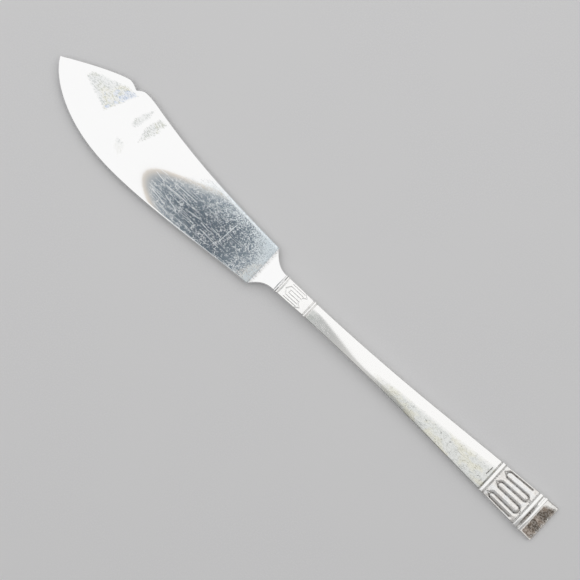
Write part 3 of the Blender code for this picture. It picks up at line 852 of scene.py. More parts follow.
on_slope = rising(along, slope_at, slope_at + SLOPE_FADE)
wedge = mixed(*BRIGHT_WEDGE, rising(along, slope_at, HANDLE_LENGTH))
slope_film = on_slope * rising(shares, 1, 1 - EDGE_RIM) * rising(1 + shares - wedge, -WEDGE_FADE, WEDGE_FADE)
off_rim = rising(along, HANDLE_LENGTH, HANDLE_LENGTH - CLEAN_RIM)
slope_film = slope_film * mixed(RIM_COVER, 1, off_rim) * (1 - dents)
print(f"brown film on {np.mean(slope_film[along > slope_at] > 0.5):.0%} of the slope's points")

# %% [markdown]
# ## The skin of the handle and its socket
# The falls of wear add up to the four stored values. The film is thickest at the end and thinner in each part
# towards the neck. The skin starts inside, with a blind socket that takes the tang with a little clearance,
# and comes out over the face at the seam, so the handle is one closed skin without a Boolean too.

# %% Store the wear and skin the handle
SOCKET_HALF = (TANG_HALF[0] + JOINT_GAP, TANG_HALF[1] + JOINT_GAP)
SOCKET_LENGTH = SEAM_X - solder_low.x + JOINT_GAP
FILMS = [
    # from which distance behind the seam, and how thick
    (end_groove_at - END_GROOVE, 0.89),
    (first_reed_at, 0.56),
    (HAZE_FROM, 0.232),
    (0, 0.175),
]
HAZE_COVER = 0.75
PANEL_COVER = 0.3
HAZE_RUB = 0.2
PANEL_RUB = 0.1
SLOPE_RUB = 0.12
NECK_RUB = 0.25

film_starts, film_thicknesses = zip(*FILMS)
handle_cover = slope_film + last_film + HAZE_COVER * hazy + PANEL_COVER * in_panel + neck_film
handle_rub = HAZE_RUB * hazy + PANEL_RUB * in_panel + SLOPE_RUB * on_slope + NECK_RUB * neck_dull
handle_wear = {
    "oxide_and_shade": np.clip(oxide_and_shade, 0, 1),
    "film": np.select([along > start for start in film_starts], film_thicknesses),
    "cover": np.clip(handle_cover, 0, 1),
    "rub": np.clip(handle_rub, 0, 1),
}

under_shares = np.linspace(-1, 1, HANDLE_UNDER)
under_across = across[:, -1:] * under_shares
handle_under = np.broadcast_to(edge_drop[:, None], under_across.shape)
handle_rings = faces_to_rings(
    SEAM_X - handle_stations, across, front_z, under_across, handle_under, handle_corners
)
socket_rings = [
    boxed(handle_rings[0], SEAM_X - SOCKET_LENGTH, *SOCKET_HALF),
    boxed(handle_rings[0], SEAM_X - handle_face, *SOCKET_HALF),
]
handle_values = wear_on_rings(handle_wear, HANDLE_UNDER, len(socket_rings))
handle_piece = skin("handle_plate", socket_rings + handle_rings, handle_values)

# %% [markdown]
# ## Riding on the frame
# Each fine mesh stands for the node of the same piece, which then isn't shown. The knife has one body, so both
# ride on it.

# %% Put the pieces on their body
for piece, node, slot in (
    (blade_piece, "blade", "blade_silver"),
    (handle_piece, "handle", "handle_silver"),
):
    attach(piece, "root")
    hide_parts(node)
    print(f"{piece.name} rides on root and stands for {node}")

# %% [markdown]
# ## Helpers for node trees
# A shader is a graph, and graphs are long to write out. A few helpers keep the cells short. The first adds a
# node and fills its inputs with numbers or with the outputs of other nodes. The others stand for the nodes
# that come up most: sums, ranges, mixed colours, ramps and noise. The last one starts a group, a graph with
# named sockets that several materials can use.

# %% Add nodes
FLOAT, VECTOR, COLOUR = "NodeSocketFloat", "NodeSocketVector", "NodeSocketColor"


def add_node(tree, kind, inputs=None, **settings):
    """A new node. Each input takes a plain value or another node's output."""
    node = tree.nodes.new(kind)
    for setting, value in settings.items():
        setattr(node, setting, value)
    for socket, value in (inputs or {}).items():
        if isinstance(value, bpy.types.NodeSocket):
            tree.links.new(value, node.inputs[socket])
        else:
            node.inputs[socket].default_value = value
    return node


def sum_of(tree, operation, *values, clamp=False):
    """The output of one Math node."""
    node = add_node(tree, "ShaderNodeMath", dict(enumerate(values)), operation=operation, use_clamp=clamp)
    return node.outputs[0]


def vector_sum(tree, operation, *values, output=0):
    """One output of a Vector Math node: a vector, or the number that it calls Value."""
    node = add_node(tree, "ShaderNodeVectorMath", dict(enumerate(values)), operation=operation)
    return node.outputs[output]


def ranged(tree, value, low, high, first=0.0, last=1.0):
    """A value mapped smoothly from low..high to first..last."""
    inputs = {"Value": value, "From Min": low, "From Max": high, "To Min": first, "To Max": last}
    return add_node(tree, "ShaderNodeMapRange", inputs, interpolation_type="SMOOTHSTEP").outputs[0]


def colour_mix(tree, share, first, second, blend="MIX"):
    """One colour over another. The node lists its colour sockets after those for numbers and vectors."""
    inputs = {0: share, 6: first, 7: second}
    return add_node(tree, "ShaderNodeMix", inputs, data_type="RGBA", blend_type=blend).outputs[2]


def colour_steps(tree, share, steps):
    """A colour ramp through steps of (position, colour)."""
    ramp = add_node(tree, "ShaderNodeValToRGB", {"Fac": share})
    stops = ramp.color_ramp.elements
    while len(stops) < len(steps):
        stops.new(1.0)
    for stop, (position, colour) in zip(stops, steps):
        stop.position, stop.color = position, colour
    return ramp.outputs[0]


def noise(tree, vector, scale, detail=2.0, roughness=0.5):
    """Soft random levels, mostly near the middle of 0 to 1."""
    inputs = {"Vector": vector, "Scale": scale, "Detail": detail, "Roughness": roughness}
    return add_node(tree, "ShaderNodeTexNoise", inputs).outputs[0]


def new_group(name, inputs, outputs):
    """An empty shader group with named sockets: (its tree, its inputs by name, its output node)."""
    tree = bpy.data.node_groups.new(name, "ShaderNodeTree")
    for socket, kind in inputs.items():
        tree.interface.new_socket(socket, in_out="INPUT", socket_type=kind)
    for socket, kind in outputs.items():
        tree.interface.new_socket(socket, in_out="OUTPUT", socket_type=kind)
    given = tree.nodes.new("NodeGroupInput").outputs
    print(f"group {name}: {', '.join(inputs)} to {', '.join(outputs)}")
    return tree, {socket: given[socket] for socket in inputs}, tree.nodes.new("NodeGroupOutput")


# %% [markdown]
# ## Scratches from polishing
# A cloth and fine grit draw thin, nearly parallel lines. Stretched cells give them: squeezed across and drawn
# out along, each cell of a Voronoi texture is a sliver, and what lies close to its one point becomes a line.
# The random colour of the cell gives each line a strength of its own. Stretched noise would do too, but its
# threads run on without an end. A scratch scatters light, so the material uses it as roughness: in a dark
# reflection it shows bright, and in a bright one it hardly shows.

# %% The group for scratches
RANDOM_LEVELS = (0.25, 0.9)
LINE_STRENGTHS = (0.15, 1.0)
LINE_CORE = 0.3


def polishing_scratches():
    """A group for fine scratches. Across and Along are cells per metre, Reach is a half width in cells."""
    tree, given, out = new_group(
        "polishing_scratches",
        {"Vector": VECTOR, "Turn": FLOAT, "Across": FLOAT, "Along": FLOAT, "Reach": FLOAT},
        {"Lines": FLOAT},
    )
    turning = {"Vector": given["Vector"], "Angle": given["Turn"]}
    turned = add_node(tree, "ShaderNodeVectorRotate", turning, rotation_type="Z_AXIS").outputs[0]
    stretch = add_node(tree, "ShaderNodeCombineXYZ", {"X": given["Along"], "Y": given["Across"]}).outputs[0]
    slivers = {"Vector": vector_sum(tree, "MULTIPLY", turned, stretch), "Scale": 1.0}
    cells = add_node(tree, "ShaderNodeTexVoronoi", slivers, voronoi_dimensions="2D").outputs
    share = sum_of(tree, "DIVIDE", cells["Distance"], given["Reach"])
    strength = ranged(tree, cells["Color"], *RANDOM_LEVELS, *LINE_STRENGTHS)
    lines = sum_of(tree, "MULTIPLY", ranged(tree, share, LINE_CORE, 1.0, 1.0, 0.0), strength)
    tree.links.new(lines, out.inputs["Lines"])
    return tree


SCRATCHES = polishing_scratches()

# %% [markdown]
# ## One long scratch
# Some scratches are long enough to be told apart, so they are listed one by one. They are too shallow for the
# mesh. Each has a start and a run from there. The group finds the point of the run that is nearest, and the
# line fades with the distance from it.

# %% The group for one long scratch
def single_scratch():
    """A group for one scratch, from Start over Run, that fades out at Width beside it."""
    tree, given, out = new_group(
        "single_scratch",
        {"Vector": VECTOR, "Start": VECTOR, "Run": VECTOR, "Width": FLOAT},
        {"Line": FLOAT},
    )
    level = vector_sum(tree, "MULTIPLY", given["Vector"], (1, 1, 0))
    offset = vector_sum(tree, "SUBTRACT", level, given["Start"])
    gone = vector_sum(tree, "DOT_PRODUCT", offset, given["Run"], output="Value")
    whole = vector_sum(tree, "DOT_PRODUCT", given["Run"], given["Run"], output="Value")
    share = sum_of(tree, "DIVIDE", gone, whole, clamp=True)
    nearest = add_node(tree, "ShaderNodeVectorMath", {0: given["Run"], "Scale": share}, operation="SCALE")
    away = vector_sum(tree, "DISTANCE", offset, nearest.outputs[0], output="Value")
    widths = sum_of(tree, "DIVIDE", away, given["Width"])
    tree.links.new(ranged(tree, widths, 0.0, 1.0, 1.0, 0.0), out.inputs["Line"])
    return tree


LONG_SCRATCH = single_scratch()

# %% [markdown]
# ## Haze and marks
# Handling leaves soft clouds and a fine grain. Under a lens the dull parts of a worn mirror are not evenly
# rough: they are a mirror with countless tiny marks in it, more of them where it is more worn. The marks are
# the random colours of fine cells, gathered by a broader noise, above a threshold that the wear moves.

# %% The groups for haze and marks
CLOUD_LEVELS = (0.35, 0.66)
GRAIN_LEVELS = (0.42, 0.66)
CELL_SHARE = 0.6
CLUMP_SHARE = 0.4
CLUMP_SCALE = 0.12
THRESHOLD = 0.68
THRESHOLD_MOVE = -0.31
MARK_SOFTNESS = 0.16
FIRST_MARKS = 0.1


def handling_haze():
    """A group for soft clouds and fine grain."""
    tree, given, out = new_group(
        "handling_haze",
        {"Vector": VECTOR, "Cloud Scale": FLOAT, "Grain Scale": FLOAT},
        {"Cloud": FLOAT, "Grain": FLOAT},
    )
    clouds = noise(tree, given["Vector"], given["Cloud Scale"])
    grains = noise(tree, given["Vector"], given["Grain Scale"], detail=3.0, roughness=0.65)
    tree.links.new(ranged(tree, clouds, *CLOUD_LEVELS), out.inputs["Cloud"])
    tree.links.new(ranged(tree, grains, *GRAIN_LEVELS), out.inputs["Grain"])
    return tree


def micro_marks():
    """A group for tiny marks, more of them with more wear."""
    tree, given, out = new_group(
        "micro_marks", {"Vector": VECTOR, "Scale": FLOAT, "Wear": FLOAT}, {"Marks": FLOAT}
    )
    fine = {"Vector": given["Vector"], "Scale": given["Scale"]}
    cells = add_node(tree, "ShaderNodeTexVoronoi", fine).outputs
    clump_scale = sum_of(tree, "MULTIPLY", given["Scale"], CLUMP_SCALE)
    clumps = noise(tree, given["Vector"], clump_scale, detail=1.0)
    speckled = sum_of(tree, "MULTIPLY", cells["Color"], CELL_SHARE)
    gathered = sum_of(tree, "MULTIPLY_ADD", clumps, CLUMP_SHARE, speckled)
    threshold = sum_of(tree, "MULTIPLY_ADD", given["Wear"], THRESHOLD_MOVE, THRESHOLD)
    above = ranged(tree, gathered, threshold, sum_of(tree, "ADD", threshold, MARK_SOFTNESS))
    marks = sum_of(tree, "MULTIPLY", above, ranged(tree, given["Wear"], 0.0, FIRST_MARKS))
    tree.links.new(marks, out.inputs["Marks"])
    return tree


HAZE, MARKS = handling_haze(), micro_marks()

# %% [markdown]
# ## Tarnish and pits
# Tarnish on silver is a thin sulphide film, and its colour depends on its thickness. The thinnest one is
# faintly warm. Then come greys, straw, blue, blue grey, a pinkish brown and dark brown. A colour ramp over
# the thickness holds that order. Where the plate has worn through, pits show as small dark specks.

# %% The groups for tarnish and pits
TARNISH_TINTS = [
    # thickness of the film, tint of the silver under it
    (0.0, (1.0, 1.0, 1.0, 1)),
    (0.06, (1.0, 0.93, 0.88, 1)),
    (0.12, (0.89, 0.90, 0.88, 1)),
    (0.17, (0.66, 0.685, 0.68, 1)),
    (0.22, (0.65, 0.67, 0.64, 1)),
    (0.28, (0.70, 0.69, 0.56, 1)),
    (0.35, (0.51, 0.60, 0.77, 1)),
    (0.44, (0.60, 0.64, 0.69, 1)),
    (0.53, (0.70, 0.63, 0.56, 1)),
    (0.7, (0.45, 0.37, 0.31, 1)),
    (0.85, (0.24, 0.19, 0.15, 1)),
    (1.0, (0.15, 0.115, 0.085, 1)),
]
PIT_FIELD_SCALE = 160.0
PIT_FIELD_LEVELS = (0.46, 0.6)
PIT_LEVELS = (0.66, 0.7)


def tarnish_film():
    """A group for the tint that a film of some thickness gives to silver."""
    tree, given, out = new_group("tarnish_film", {"Film": FLOAT}, {"Tint": COLOUR})
    tree.links.new(colour_steps(tree, given["Film"], TARNISH_TINTS), out.inputs["Tint"])
    return tree


def worn_pits():
    """A group for small pits, gathered in fields where the plate is worn."""
    tree, given, out = new_group(
        "worn_pits", {"Vector": VECTOR, "Scale": FLOAT, "Where": FLOAT}, {"Pits": FLOAT}
    )
    fields = ranged(tree, noise(tree, given["Vector"], PIT_FIELD_SCALE, detail=1.0), *PIT_FIELD_LEVELS)
    specks = ranged(tree, noise(tree, given["Vector"], given["Scale"]), *PIT_LEVELS)
    where = sum_of(tree, "MULTIPLY", fields, given["Where"])
    tree.links.new(sum_of(tree, "MULTIPLY", specks, where), out.inputs["Pits"])
    return tree


TARNISH, PITS = tarnish_film(), worn_pits()

# %% [markdown]
# ## Films and scratches on plate
# Tarnish starts and wears off in specks, so the edge of a film is ragged. The stored cover is too smooth for
# that, and the grain breaks it up. All scratches are gathered into one value, the strongest at each point.
# Fine ones show where the silver is a little rubbed and drown where it is rubbed most.

# %% What lies on the plate
COVER_START = 0.2
LINES_START = (0.02, 0.1)
LINES_DROWN = (0.3, 0.6)
DROWNED_LINES = 0.3


def new_material(name):
    """An empty material: (the material, its node tree, its Principled shader)."""
    material = bpy.data.materials.new(name)
    material.use_nodes = True
    tree = material.node_tree
    print("material", name)
    return material, tree, tree.nodes["Principled BSDF"]


def stored(tree, name):
    """A value that is stored on the points of the mesh."""
    return add_node(tree, "ShaderNodeAttribute", attribute_name=name).outputs["Fac"]


def placed(tree, group, inputs):
    """The outputs of a shader group, placed in a material with its own values."""
    return add_node(tree, "ShaderNodeGroup", inputs, node_tree=group).outputs


def film_cover(tree, grain, film_grain):
    """How far film hides the silver: the stored cover, with its edges and its depth broken up by grain."""
    cover = stored(tree, "cover")
    lowered = sum_of(tree, "SUBTRACT", cover, film_grain / 2)
    ragged = sum_of(tree, "MULTIPLY_ADD", grain, film_grain, lowered)
    inside = sum_of(tree, "MULTIPLY", ragged, ranged(tree, cover, 0.0, COVER_START), clamp=True)
    thinned = ranged(tree, grain, 0.0, 1.0, 1.0 - film_grain, 1.0)
    return sum_of(tree, "MULTIPLY", inside, thinned)


def all_scratches(tree, place, rub, scratches, long_scratches):
    """The strongest scratch at a point. Fine ones need some rub to show, and drown where there is much."""
    lines = 0.0
    for values in scratches:
        drawn = placed(tree, SCRATCHES, {"Vector": place, **values})
        lines = sum_of(tree, "MAXIMUM", drawn["Lines"], lines)
    drowned = ranged(tree, rub, *LINES_DROWN, 1.0, DROWNED_LINES)
    shown = sum_of(tree, "MULTIPLY", ranged(tree, rub, *LINES_START), drowned)
    lines = sum_of(tree, "MULTIPLY", lines, shown)
    for values in long_scratches:
        drawn = placed(tree, LONG_SCRATCH, {"Vector": place, **values})
        lines = sum_of(tree, "MAXIMUM", drawn["Line"], lines)
    return lines


# %% [markdown]
# ## Silver plate
# Silver is nearly white and very reflective, so the Principled shader is fully metallic with a pale colour
# and a low roughness. The interest is in what breaks up the mirror: scratches, marks and rub raise the
# roughness, rub and film tint the colour, oxide darkens the recesses, painted shade darkens the blade's crease,
# and thick film bites a little into the surface. A mix of several shaders could do it too, but one shader with
# fed inputs is simpler.

# %% The recipe for plate
# The dark colour of oxide, also used for the painted shade at the blade's crease.
OXIDE_AND_SHADE_COLOUR = (0.075, 0.068, 0.06, 1)
HAZE_STRETCH = (0.5, 1, 1)
PLATE_CLOUDS = 500.0
PLATE_GRAIN = 2900.0
PIT_SCALE = 1200.0
CLOUD_SWING = (0.82, 1.18)
GRAIN_SWING = (0.45, 1.5)
MARK_ROUGHNESS = 0.56
HEAVY_RUB = 0.5
HEAVY_RUB_ROUGHNESS = 0.12
LINE_ROUGHNESS = 0.4
FILM_ROUGHNESS = 0.15
OXIDE_ROUGHNESS = 0.3
BITE_STRENGTH = 0.35
BITE_DEPTH = 0.06 * MM


def silver_plate(name, silver, rubbed, polish, mark_scale, film_grain, pits, scratches, long_scratches):
    """Plate from its two colours, its roughness where it is polished, and the values of what wears it."""
    material, tree, shader = new_material(name)
    place = add_node(tree, "ShaderNodeTexCoord").outputs["Object"]
    rub, film, oxide_and_shade = stored(tree, "rub"), stored(tree, "film"), stored(tree, "oxide_and_shade")
    hazed = vector_sum(tree, "MULTIPLY", place, HAZE_STRETCH)
    haze = placed(tree, HAZE, {"Vector": hazed, "Cloud Scale": PLATE_CLOUDS, "Grain Scale": PLATE_GRAIN})
    cloudy = ranged(tree, haze["Cloud"], 0.0, 1.0, *CLOUD_SWING)
    grainy = ranged(tree, haze["Grain"], 0.0, 1.0, *GRAIN_SWING)
    cover = film_cover(tree, haze["Grain"], film_grain)
    lines = all_scratches(tree, place, rub, scratches, long_scratches)
    wear = sum_of(tree, "MULTIPLY", rub, cloudy)
    marks = placed(tree, MARKS, {"Vector": place, "Scale": mark_scale, "Wear": wear})["Marks"]
    pitted = sum_of(tree, "MULTIPLY", rub, pits, clamp=True)
    specks = placed(tree, PITS, {"Vector": place, "Scale": PIT_SCALE, "Where": pitted})["Pits"]
    # Oxide in the recesses, painted shade at the blade's crease, and pits, all darkened with one colour.
    oxide_shade_and_pits = sum_of(tree, "MAXIMUM", sum_of(tree, "MULTIPLY", oxide_and_shade, grainy, clamp=True), specks)

    # Colour: silver, then film over it, then oxide and, at the blade's crease, painted shade over both.
    tint = placed(tree, TARNISH, {"Film": sum_of(tree, "MULTIPLY", film, cloudy)})["Tint"]
    bare = colour_mix(tree, rub, silver, rubbed)
    tinted = colour_mix(tree, cover, bare, tint, "MULTIPLY")
    tree.links.new(colour_mix(tree, oxide_shade_and_pits, tinted, OXIDE_AND_SHADE_COLOUR), shader.inputs["Base Color"])

    # Roughness: the polish, and what each kind of wear adds to it.
    marked = sum_of(tree, "MULTIPLY_ADD", marks, MARK_ROUGHNESS, polish)
    dulled = sum_of(tree, "ADD", marked, ranged(tree, rub, HEAVY_RUB, 1.0, 0.0, HEAVY_RUB_ROUGHNESS))
    scored = sum_of(tree, "MULTIPLY_ADD", lines, LINE_ROUGHNESS, dulled)
    filmed = sum_of(tree, "MULTIPLY", film, cover)
    oxidised = sum_of(tree, "MULTIPLY", oxide_shade_and_pits, OXIDE_ROUGHNESS)
    stained = sum_of(tree, "MULTIPLY_ADD", filmed, FILM_ROUGHNESS, oxidised)
    tree.links.new(sum_of(tree, "ADD", scored, stained, clamp=True), shader.inputs["Roughness"])

    # Bump: thick film and pits bite into the metal.
    eaten = sum_of(tree, "MULTIPLY", sum_of(tree, "POWER", filmed, 2.0), haze["Grain"])
    bite = {"Strength": BITE_STRENGTH, "Distance": -BITE_DEPTH, "Height": sum_of(tree, "ADD", eaten, specks)}
    tree.links.new(add_node(tree, "ShaderNodeBump", bite).outputs[0], shader.inputs["Normal"])
    shader.inputs["Metallic"].default_value = 1.0
    return material


# %% [markdown]
# ## Two finishes
# The blade is polished brighter than the handle. Its rubbed silver is a little bluer, its films are more
# ragged, and its scratches run nearly along it. The handle is softer, has a few broad scratches, and its worn
# places are pitted. Two materials built by hand would drift apart, so both use one recipe with two sets of
# values.

# %% Plate the blade and the handle
SCORE_WIDTH = 0.13 * MM
BLADE_SCORES = [
    # start and end of each long scratch, as distance from the heel and y, in millimetres
    ((34.2, 1.3), (26.2, 1.1)),
    ((33.0, -0.7), (25.0, -0.8)),
    ((38.6, 0.4), (35.4, 1.0)),
    ((36.5, 4.7), (31.2, 5.5)),
    ((32.6, 3.5), (28.0, 4.6)),
    ((25.0, 2.5), (21.6, 2.1)),
    ((20.0, 2.5), (17.4, 2.8)),
    ((37.8, -0.7), (35.8, -1.0)),
    ((17.4, 1.6), (13.9, 1.8)),
    ((19.4, 4.0), (12.4, 4.4)),
]


def score(start, end):
    """The values of one long scratch on the blade."""
    first, last = (Vector((HEEL_X + along * MM, AXIS_Y + y * MM, 0)) for along, y in (start, end))
    return {"Start": first, "Run": last - first, "Width": SCORE_WIDTH}


BLADE_FINISH = {
    "silver": (0.93, 0.93, 0.925, 1),
    "rubbed": (0.85, 0.915, 0.95, 1),
    "polish": 0.035,
    "mark_scale": 6200.0,
    "film_grain": 0.55,
    "pits": 0.0,
    "scratches": [
        {"Turn": math.radians(-1), "Across": 4200.0, "Along": 50.0, "Reach": 0.22},
        {"Turn": math.radians(2), "Across": 3000.0, "Along": 36.0, "Reach": 0.18},
        {"Turn": math.radians(7), "Across": 1500.0, "Along": 45.0, "Reach": 0.12},
    ],
    "long_scratches": [score(*ends) for ends in BLADE_SCORES],
}
HANDLE_FINISH = {
    "silver": (0.93, 0.925, 0.91, 1),
    "rubbed": (0.92, 0.92, 0.905, 1),
    "polish": 0.08,
    "mark_scale": 7500.0,
    "film_grain": 0.15,
    "pits": 2.4,
    "scratches": [{"Turn": math.radians(-2), "Across": 900.0, "Along": 30.0, "Reach": 0.09}],
    "long_scratches": [],
}
blade_piece.data.materials.append(silver_plate("blade_silver", **BLADE_FINISH))
handle_piece.data.materials.append(silver_plate("handle_silver", **HANDLE_FINISH))

# %% [markdown]
# ## The solder in the joint
# A slug of solder sits at the bottom of the socket, behind the tang. Nobody sees it unless the knife comes
# apart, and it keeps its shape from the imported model. Solder sets dull and grainy, with a skin of grey oxide,
# and the group for haze gives both.

# %% Dress the solder
SOLDER_BRIGHT = (0.62, 0.61, 0.58, 1)
SOLDER_OXIDE = (0.42, 0.41, 0.4, 1)
SOLDER_ROUGHNESS = (0.4, 0.62)
SOLDER_GRAIN_DEPTH = 0.05 * MM


def solder():
    """Dull, grainy solder."""
    material, tree, shader = new_material("solder_grey")
    place = add_node(tree, "ShaderNodeTexCoord").outputs["Object"]
    haze = placed(tree, HAZE, {"Vector": place, "Cloud Scale": 900.0, "Grain Scale": 5200.0})
    colour = colour_mix(tree, haze["Cloud"], SOLDER_BRIGHT, SOLDER_OXIDE)
    tree.links.new(colour, shader.inputs["Base Color"])
    tree.links.new(ranged(tree, haze["Grain"], 0.0, 1.0, *SOLDER_ROUGHNESS), shader.inputs["Roughness"])
    grain = {"Strength": 0.3, "Distance": SOLDER_GRAIN_DEPTH, "Height": haze["Grain"]}
    tree.links.new(add_node(tree, "ShaderNodeBump", grain).outputs[0], shader.inputs["Normal"])
    shader.inputs["Metallic"].default_value = 1.0
    return material


solder_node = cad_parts["tang_solder"]
solder_node.data.materials.clear()
solder_node.data.materials.append(solder())

# %% [markdown]
# ## The floor
# The knife lies on a plain pale surface. One large face with a faint unevenness in its colour is enough, and
# it catches the soft shadow that seats the knife.

# %% Lay the floor
FLOOR_SIDE = 12.0
FLOOR_GAP = 0.02 * MM
FLOOR_GRAIN = ((0.79, 0.79, 0.795, 1), (0.82, 0.82, 0.825, 1))
FLOOR_CLOUD = (0.805, 0.805, 0.808, 1)


def floor_material():
    """A pale, matt surface."""
    material, tree, shader = new_material("pale_floor")
    place = add_node(tree, "ShaderNodeTexCoord").outputs["Object"]
    haze = placed(tree, HAZE, {"Vector": place, "Cloud Scale": 25.0, "Grain Scale": 2400.0})
    fine = colour_mix(tree, haze["Grain"], *FLOOR_GRAIN)
    tree.links.new(colour_mix(tree, haze["Cloud"], fine, FLOOR_CLOUD), shader.inputs["Base Color"])
    shader.inputs["Roughness"].default_value = 0.8
    return material


def flat_sheet(name, outline, material):
    """A level face with this outline."""
    mesh = bpy.data.meshes.new(name)
    mesh.from_pydata(outline, [], [range(len(outline))])
    mesh.materials.append(material)
    sheet = bpy.data.objects.new(name, mesh)
    bpy.context.scene.collection.objects.link(sheet)
    print(f"{name}: a sheet with {len(outline)} corners")
    return sheet


side = FLOOR_SIDE / 2
floor_corners = [(x * side, y * side, -FLOOR_GAP) for x, y in ((-1, -1), (1, -1), (1, 1), (-1, 1))]
flat_sheet("floor", floor_corners, floor_material())

# %% [markdown]
# ## The camera
# The picture looks straight down on the knife, which lies across it from the upper left to the lower right.
# The directions right and up in the picture are kept as vectors, because the lights are placed by them too.

# %% Place the camera
HANDLE_DIP = math.radians(42.52)
PICTURE_SIDE = 157.76 * MM
CAMERA_HEIGHT = 300 * MM
MIDDLE_BEHIND_SEAM = 2.83 * MM
MIDDLE_OFF_AXIS = -0.33 * MM
PICTURE_MIDDLE = Vector(
    (SEAM_X - MIDDLE_BEHIND_SEAM, AXIS_Y + MIDDLE_OFF_AXIS, AXIS_Z + HEEL_THICKNESS / 2)
)
RIGHT = Vector((-math.cos(HANDLE_DIP), -math.sin(HANDLE_DIP), 0))
UP = Vector((math.sin(HANDLE_DIP), -math.cos(HANDLE_DIP), 0))
LOOKING_DOWN = (0, 0, math.pi + HANDLE_DIP)


def in_picture(right, up, height):
    """A point by its place over the picture: right of its middle, up from it, and above the knife."""
    return PICTURE_MIDDLE + RIGHT * right + UP * up + Vector((0, 0, height))


camera = bpy.data.cameras.new("camera")
camera.lens = camera.sensor_width * CAMERA_HEIGHT / PICTURE_SIDE
camera_object = bpy.data.objects.new("camera", camera)
camera_object.location = in_picture(0, 0, CAMERA_HEIGHT)
camera_object.rotation_euler = LOOKING_DOWN
bpy.context.scene.collection.objects.link(camera_object)
bpy.context.scene.camera = camera_object
print(f"camera {CAMERA_HEIGHT / MM:.0f} mm above the knife, lens {camera.lens:.1f} mm")

# %% [markdown]
# ## Soft light
# Polished metal has no look of its own: it shows what stands round it. One large softbox above the picture
# makes the plate white. A small lamp beyond the handle's end shows in what leans that way. Both are area
# lamps, because a point or a sun has no shape to mirror.

# %% Hang the lamps
SOFTBOX_HEIGHT = 500 * MM
SOFTBOX_SIDES = (1400 * MM, 950 * MM)
SOFTBOX_LOWER_EDGE = -184 * MM
SOFTBOX_RADIANCE = 0.58
END_LAMP_SIDES = (220 * MM, 220 * MM)
END_LAMP_PLACE = (475 * MM, -443 * MM, 500 * MM)
END_LAMP_RADIANCE = 0.55


def area_lamp(name, sides, radiance, place, rotation):
    """A soft lamp of this radiance. Without a rotation it would shine straight down."""
    lamp = bpy.data.lights.new(name, "AREA")
    lamp.shape = "RECTANGLE"
    lamp.size, lamp.size_y = sides
    lamp.energy = radiance * math.pi * sides[0] * sides[1]
    lamp_object = bpy.data.objects.new(name, lamp)
    lamp_object.location = place
    lamp_object.rotation_euler = rotation
    bpy.context.scene.collection.objects.link(lamp_object)
    print(f"{name}: {lamp.energy:.2f} W")


softbox_at = in_picture(0, SOFTBOX_LOWER_EDGE + SOFTBOX_SIDES[1] / 2, SOFTBOX_HEIGHT)
area_lamp("softbox", SOFTBOX_SIDES, SOFTBOX_RADIANCE, softbox_at, LOOKING_DOWN)
end_lamp_at = in_picture(*END_LAMP_PLACE)
to_knife = (PICTURE_MIDDLE - end_lamp_at).to_track_quat("-Z", "Y").to_euler()
area_lamp("end_lamp", END_LAMP_SIDES, END_LAMP_RADIANCE, end_lamp_at, to_knife)

# %% [markdown]
# ## Something dark to mirror
# A mirror under nothing but white looks like paper, so photographers hold cards round the lens. A card here
# is a flat sheet with a glow of its own, graded by a colour ramp over the way in from its rim. It is seen
# only in reflections: it throws no shadow, and it doesn't light the floor.

# %% Cards that are graded from the rim
CARD_HEIGHT = 450 * MM
CARD_STEPS = 10


def round_corners(corners, cut):
    """An outline through the corners, each cut off by a smooth bow."""
    points = []
    for before, corner, after in zip(corners[-1:] + corners[:-1], corners, corners[1:] + corners[:1]):
        corner = Vector(corner)
        start = corner + (Vector(before) - corner).normalized() * cut
        end = corner + (Vector(after) - corner).normalized() * cut
        for t in np.linspace(0, 1, CARD_STEPS):
            points.append(start * (1 - t) ** 2 + corner * 2 * t * (1 - t) + end * t**2)
    return points


def way_in(tree, corners, widths):
    """0 on the sides of a card that have a width, 1 further in than these. Up to three sides have one."""
    place = add_node(tree, "ShaderNodeTexCoord").outputs["Object"]
    points = [in_picture(*corner, CARD_HEIGHT) for corner in corners]
    middle = sum(points, Vector()) / len(points)
    left = []
    for start, end, width in zip(points, points[1:] + points[:1], widths):
        inward = Vector((0, 0, 1)).cross(end - start).normalized()
        inward = inward * math.copysign(1, inward.dot(middle - start))
        offset = vector_sum(tree, "SUBTRACT", place, start)
        depth = vector_sum(tree, "DOT_PRODUCT", offset, inward / width, output="Value")
        left.append(sum_of(tree, "SUBTRACT", 1.0, depth, clamp=True))
    rest = add_node(tree, "ShaderNodeCombineXYZ", dict(zip("XYZ", left))).outputs[0]
    length = vector_sum(tree, "LENGTH", rest, output="Value")
    return sum_of(tree, "SUBTRACT", 1.0, length, clamp=True)


def card(name, corners, cut, widths, tones):
    """A card with round corners that shows in reflections alone, its tones graded by the way in."""
    material, tree, shader = new_material(name)
    shader.inputs["Base Color"].default_value = (0, 0, 0, 1)
    shader.inputs["Specular IOR Level"].default_value = 0.0
    shader.inputs["Emission Strength"].default_value = 1.0
    colour = colour_steps(tree, way_in(tree, corners, widths), tones)
    tree.links.new(colour, shader.inputs["Emission Color"])
    outline = [in_picture(point.x, point.y, CARD_HEIGHT) for point in round_corners(corners, cut)]
    sheet = flat_sheet(name, outline, material)
    sheet.visible_camera = False
    sheet.visible_diffuse = False
    sheet.visible_shadow = False


# %% [markdown]
# ## Two cards
# The dark card shows as the deep patch on the heel half of the blade. Its rim is pale and warm and its middle
# blue grey, which gives the patch a soft fringe. The grey card lies along the handle and is graded along its
# length. The world could hold dark spots instead, but these could not be placed by millimetres.

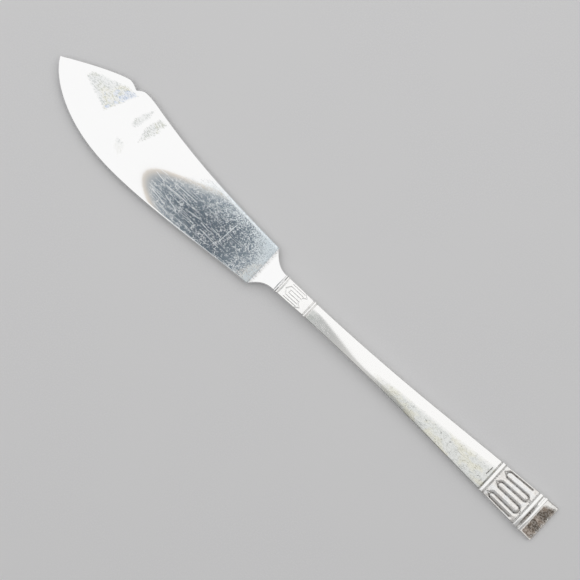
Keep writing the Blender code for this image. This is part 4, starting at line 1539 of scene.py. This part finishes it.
# %% Hold the cards
DARK_CARD = [(54 * MM, 88 * MM), (-124 * MM, 84 * MM), (-124 * MM, -104 * MM)]
DARK_CUT = 46 * MM
DARK_RIMS = (34 * MM, 40 * MM, 42 * MM)
DARK_TONES = [
    # share of the way in from the rim, colour of the card there
    (0.0, (0.84, 0.79, 0.72, 1)),
    (0.04, (0.75, 0.695, 0.63, 1)),
    (0.09, (0.66, 0.62, 0.57, 1)),
    (0.14, (0.57, 0.555, 0.535, 1)),
    (0.18, (0.49, 0.505, 0.515, 1)),
    (0.24, (0.39, 0.42, 0.445, 1)),
    (0.33, (0.285, 0.32, 0.355, 1)),
    (0.45, (0.235, 0.27, 0.303, 1)),
    (0.7, (0.18, 0.215, 0.247, 1)),
    (1.0, (0.125, 0.152, 0.182, 1)),
]
GREY_CARD = [
    (50 * MM, 9 * MM), (-146 * MM, -202 * MM), (80 * MM, -198 * MM), (60 * MM, -116 * MM), (20 * MM, -98 * MM)
]
GREY_CUT = 14 * MM
GREY_LENGTH = 110 * MM
GREY_TONES = [
    # share of the card's length from the neck, colour of the card there
    (0.0, (0.49, 0.50, 0.50, 1)),
    (0.12, (0.47, 0.48, 0.48, 1)),
    (0.3, (0.56, 0.56, 0.55, 1)),
    (0.5, (0.66, 0.66, 0.65, 1)),
    (0.62, (0.56, 0.56, 0.55, 1)),
    (0.76, (0.42, 0.42, 0.41, 1)),
    (0.9, (0.38, 0.38, 0.37, 1)),
    (1.0, (0.47, 0.47, 0.46, 1)),
]
card("dark_card", DARK_CARD, DARK_CUT, DARK_RIMS, DARK_TONES)
card("grey_card", GREY_CARD, GREY_CUT, (GREY_LENGTH,), GREY_TONES)

# %% [markdown]
# ## The room
# Away from the softbox the room is a quiet grey. It is lighter overhead, a little darker towards the handle's
# end, which keeps the slope there dark, and darker still on the side of the cutting edge. The world's
# direction gives all three changes.

# %% Light the room
ROOM_LOW, ROOM_HIGH = (0.36, 0.36, 0.36, 1), (0.44, 0.44, 0.444, 1)
ROOM_AT_END = (0.34, 0.33, 0.32, 1)
ROOM_AT_EDGE = (0.2, 0.2, 0.2, 1)

# Where each change starts and where it is full, as parts of the direction.
OVERHEAD = (0.0, 0.9)
TOWARDS_END = (-0.15, -0.75)
TOWARDS_EDGE = (0.3, 0.85)

world = bpy.data.worlds.new("grey_room")
world.use_nodes = True
bpy.context.scene.world = world
room = world.node_tree
looked_along = add_node(room, "ShaderNodeTexCoord").outputs["Generated"]
direction = add_node(room, "ShaderNodeSeparateXYZ", {0: looked_along}).outputs
grey = colour_mix(room, ranged(room, direction["Z"], *OVERHEAD), ROOM_LOW, ROOM_HIGH)
grey = colour_mix(room, ranged(room, direction["X"], *TOWARDS_END), grey, ROOM_AT_END)
grey = colour_mix(room, ranged(room, direction["Y"], *TOWARDS_EDGE), grey, ROOM_AT_EDGE)
room.links.new(grey, room.nodes["Background"].inputs["Color"])
print("world", world.name)

# %% [markdown]
# ## Finish
# The picture is shown with the Standard view transform.

# %% Finish with the Standard view transform
bpy.context.scene.view_settings.view_transform = "Standard"
